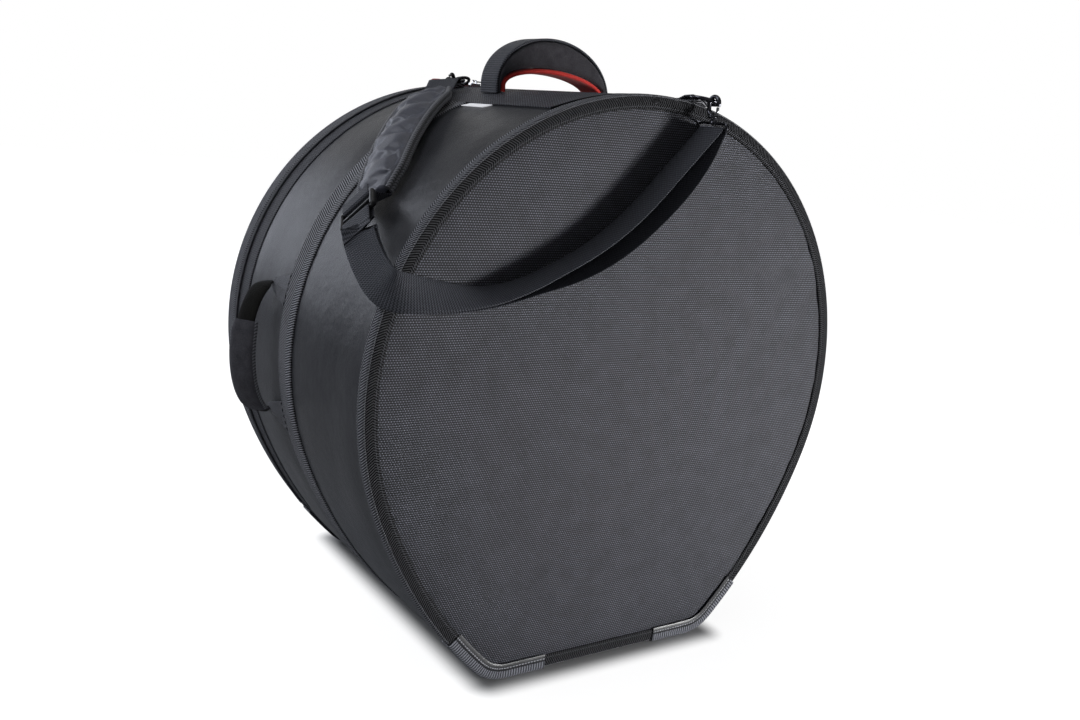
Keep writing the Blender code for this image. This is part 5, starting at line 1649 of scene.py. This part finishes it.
form = swept(pad_section(width=0.058, thick=0.0105), path_frames(pad_spots, pad_sides, pad_ease))
form = wrinkled(form, pad_spots, pad_sides, depth=0.0008)
form = puffed(form, voxel=0.0025, cap=0.005, held=on_pad_seam, growth=0.08)
shoulder_pad = piece("shoulder_pad_satin", form, strap_nylon, "case", ("shoulder_pad",), sharp=70.0)
for hand, sign in (("left", -1), ("right", 1)):
    edge = [spot + side * (sign * pad_seam * ease)
            for spot, side, ease in zip(pad_spots, pad_sides, pad_ease)]
    for name, drop, thick in (("pad_piping", 0.0, 0.0058), ("pad_lower_piping", 0.0052, 0.0050)):
        line = [spot - wall_normal(spot) * drop for spot in edge]
        piece(f"{name}_{hand}", wire(line, pad_sides, thick, thick, 12), piping_braid, "case")

# %% [markdown]
# Adjuster and strap
#
# The webbing under the pad is folded round the rear hook's eye at one end and round the adjuster at the
# other. From the adjuster the strap runs doubled round the left edge and up across the front to the front
# hook. The adjuster is a moulded ladder: two rails and three round bars.

# %% Adjuster
loop_radius = eye_bar * sqrt(2.0) / 2 + seam_gap + webbing_thickness / 2
adjuster_spot, adjuster_tangent, adjuster_normal = wall_frame(radians(58.8), -0.583 * half_depth, 0.0276)
adjuster_tilt = radians(53.0)
adjuster_along = adjuster_tangent * cos(adjuster_tilt) - Vector((0.0, sin(adjuster_tilt), 0.0))
adjuster_side = adjuster_normal.cross(adjuster_along)
adjuster_base = placed(adjuster_spot, adjuster_along, adjuster_side, adjuster_normal)
bar_shift = adjuster_along * 0.011
rail_across, rail_reach = 0.02175, 0.0125
bar_along, bar_reach = 0.0115, 0.0225
bar_lead = 0.0065
near_bar, far_bar = adjuster_spot - bar_shift, adjuster_spot + bar_shift


def round_bar(start, end, side, width, height):
    """A straight bar with rounded ends."""
    lead = (end - start).normalized() * height * 0.5
    shares = (0.0, 0.25, 0.6, 1.0)
    spots = [start + lead * share for share in shares] + [start.lerp(end, 0.5)]
    spots += [end - lead * share for share in reversed(shares)]
    return wire(spots, side, width, height, 14, 0.8, [0.45, 0.75, 0.93, 1.0, 1.0, 1.0, 0.93, 0.75, 0.45])


bars = []
for across in (-rail_across, rail_across):
    start, end = (adjuster_base @ Vector((along, across, 0.0)) for along in (-rail_reach, rail_reach))
    bars.append(round_bar(start, end, adjuster_side, 0.0052, 0.0075))
for along in (-bar_along, 0.0, bar_along):
    start, end = (adjuster_base @ Vector((along, across, 0.0)) for across in (-bar_reach, bar_reach))
    bars.append(round_bar(start, end, adjuster_along, 0.0040, 0.0046))
piece("ladder_adjuster", joined(*bars), adjuster_plastic, "case", ("strap_adjuster",), sharp=50.0)


# %% Webbing under the pad
def fold_round(bar, way, normal, tail):
    """Webbing that goes under a bar and comes back over it."""
    bend = arc(bar, way, normal, loop_radius, 12)
    return [bend[0] - way * bar_lead] + bend + [bend[-1] - way * (tail * share) for share in (0.35, 0.7, 1.0)]


under = pad_half + seam_gap + webbing_thickness
run = [spot - wall_normal(spot) * under for spot in pad_spots[::2]]
rear_way = -rear_away
first = fold_round(rear_bar, rear_way, rear_way.cross(rear_across), tail=0.022)[::-1]
last = fold_round(near_bar, adjuster_along, adjuster_normal, tail=0.011)
path = first + run + last
sides = []
for i, spot in enumerate(path):
    if i < len(first):
        sides.append(rear_across)
    elif i >= len(path) - len(last):
        sides.append(adjuster_side)
    else:
        sides.append((path[i + 1] - path[i - 1]).cross(wall_normal(spot)).normalized())
for i in range(1, len(sides)):
    if sides[i].dot(sides[i - 1]) < 0:
        sides[i] = -sides[i]
piece("pad_webbing_strap", ribbon(path, sides), strap_webbing_cloth, "case", ("pad_webbing",))
print("webbing under the pad is", length_of(path), "m long")

# %% Strap over the front
wall_clearance, front_clearance = 0.0050, 0.003


def relaxed(spots, rounds):
    """Evens out the bends of a line whose ends stay in their place."""
    for _ in range(rounds):
        inner = [(a + 2 * b + c) / 4 for a, b, c in zip(spots, spots[1:], spots[2:])]
        spots = [spots[0]] + inner + [spots[-1]]
    return spots


def relaxed_band(line, sides, width):
    """Evens out both edges of a band, keeps them off the case and gives its middle line and its sides."""
    edges = []
    for hand in (-0.5, 0.5):
        edge = relaxed([spot + side * (hand * width) for spot, side in zip(line, sides)], rounds=48)
        for spot in edge:
            run, outset = run_and_outset(spot.x, spot.z)
            if spot.y > -(half_depth + 0.0005) and outset < wall_clearance and abs(run) > flank_run:
                flat = outline_spot(abs(run), wall_clearance)
                spot.x, spot.z = copysign(flat.x, spot.x), flat.y
        edges.append(edge)
    middle = [(a + b) / 2 for a, b in zip(*edges)]
    return middle, [(b - a).normalized() for a, b in zip(*edges)]


# on the wall: angle, place along the case, outset and gap between the layers
# on the front: place across, place up, slant and gap between the layers
strap_on_wall = ((62.8, -0.715, 0.658, 0.068), (65.6, -0.819, 0.500, 0.053), (67.9, -0.922, 0.316, 0.042),
                 (69.0, -0.993, 0.211, 0.039))
strap_on_front = ((-0.937, 0.360, 74.0, 0.039), (-0.892, 0.359, 57.0, 0.039), (-0.801, 0.347, 40.0, 0.039),
                  (-0.701, 0.344, 24.0, 0.039), (-0.595, 0.352, 11.0, 0.047), (-0.496, 0.381, 4.0, 0.092),
                  (-0.374, 0.417, 0.0, 0.189), (-0.225, 0.480, 0.0, 0.250), (-0.074, 0.596, 0.0, 0.276),
                  (0.058, 0.733, 0.0, 0.289), (0.136, 0.832, 0.0, 0.211))
strap_steps = 7
# each knot of the strap's line: its place, the direction across it and the gap between the layers
knots = [(far_bar + adjuster_along * bar_lead, -adjuster_side, loop_radius)]
for angle, y_share, outset_share, spread_share in strap_on_wall:
    spot, tangent, _ = wall_frame(radians(angle), y_share * half_depth, outset_share * webbing_width)
    knots.append((spot, -tangent, spread_share * webbing_width))
for x_share, rise_share, degrees, spread_share in strap_on_front:
    turn = radians(degrees)
    spread = spread_share * webbing_width
    lean = webbing_width / 2 * cos(turn) + (spread + webbing_thickness / 2) * sin(turn)
    height = centre_height + rise_share * wall_radius
    spot = Vector((x_share * wall_radius, -(half_depth + front_clearance + lean), height))
    knots.append((spot, Vector((0.0, cos(turn), sin(turn))), spread))
knots.append((front_bar, Vector((0.0, 1.0, 0.0)), loop_radius))
spots, sides, spreads = zip(*knots)
line = [far_bar] + smooth_run(spots, strap_steps)
line_sides = [-adjuster_side] + [side.normalized() for side in smooth_run(sides, strap_steps)]
line, line_sides = relaxed_band(line, line_sides, webbing_width)
line_spreads = [loop_radius] + smooth_run(spreads, strap_steps)
near, far, axes = [], [], []
for spot, way, side, spread in zip(line, ways_along(line), line_sides, line_spreads):
    side = (side - way * side.dot(way)).normalized()
    flat = way.cross(side)
    near.append((spot - flat * spread, side))
    far.append((spot + flat * spread, side))
    axes.append((way, side, flat))
(first_way, first_side, first_flat), (last_way, last_side, last_flat) = axes[0], axes[-1]
first_turn = arc(line[0], -first_way, -first_flat, loop_radius, 12)[1:-1]
last_turn = arc(line[-1], last_way, last_flat, loop_radius, 12)[1:-1]
run = near + [(spot, last_side) for spot in last_turn] + far[::-1]
run += [(spot, first_side) for spot in first_turn] + [near[0]]
strap_spots, strap_sides = zip(*run)
piece("doubled_shoulder_strap", ribbon(strap_spots, strap_sides), strap_webbing_cloth, "case",
      ("strap_webbing",))
print("doubled strap is", length_of(strap_spots), "m of webbing")
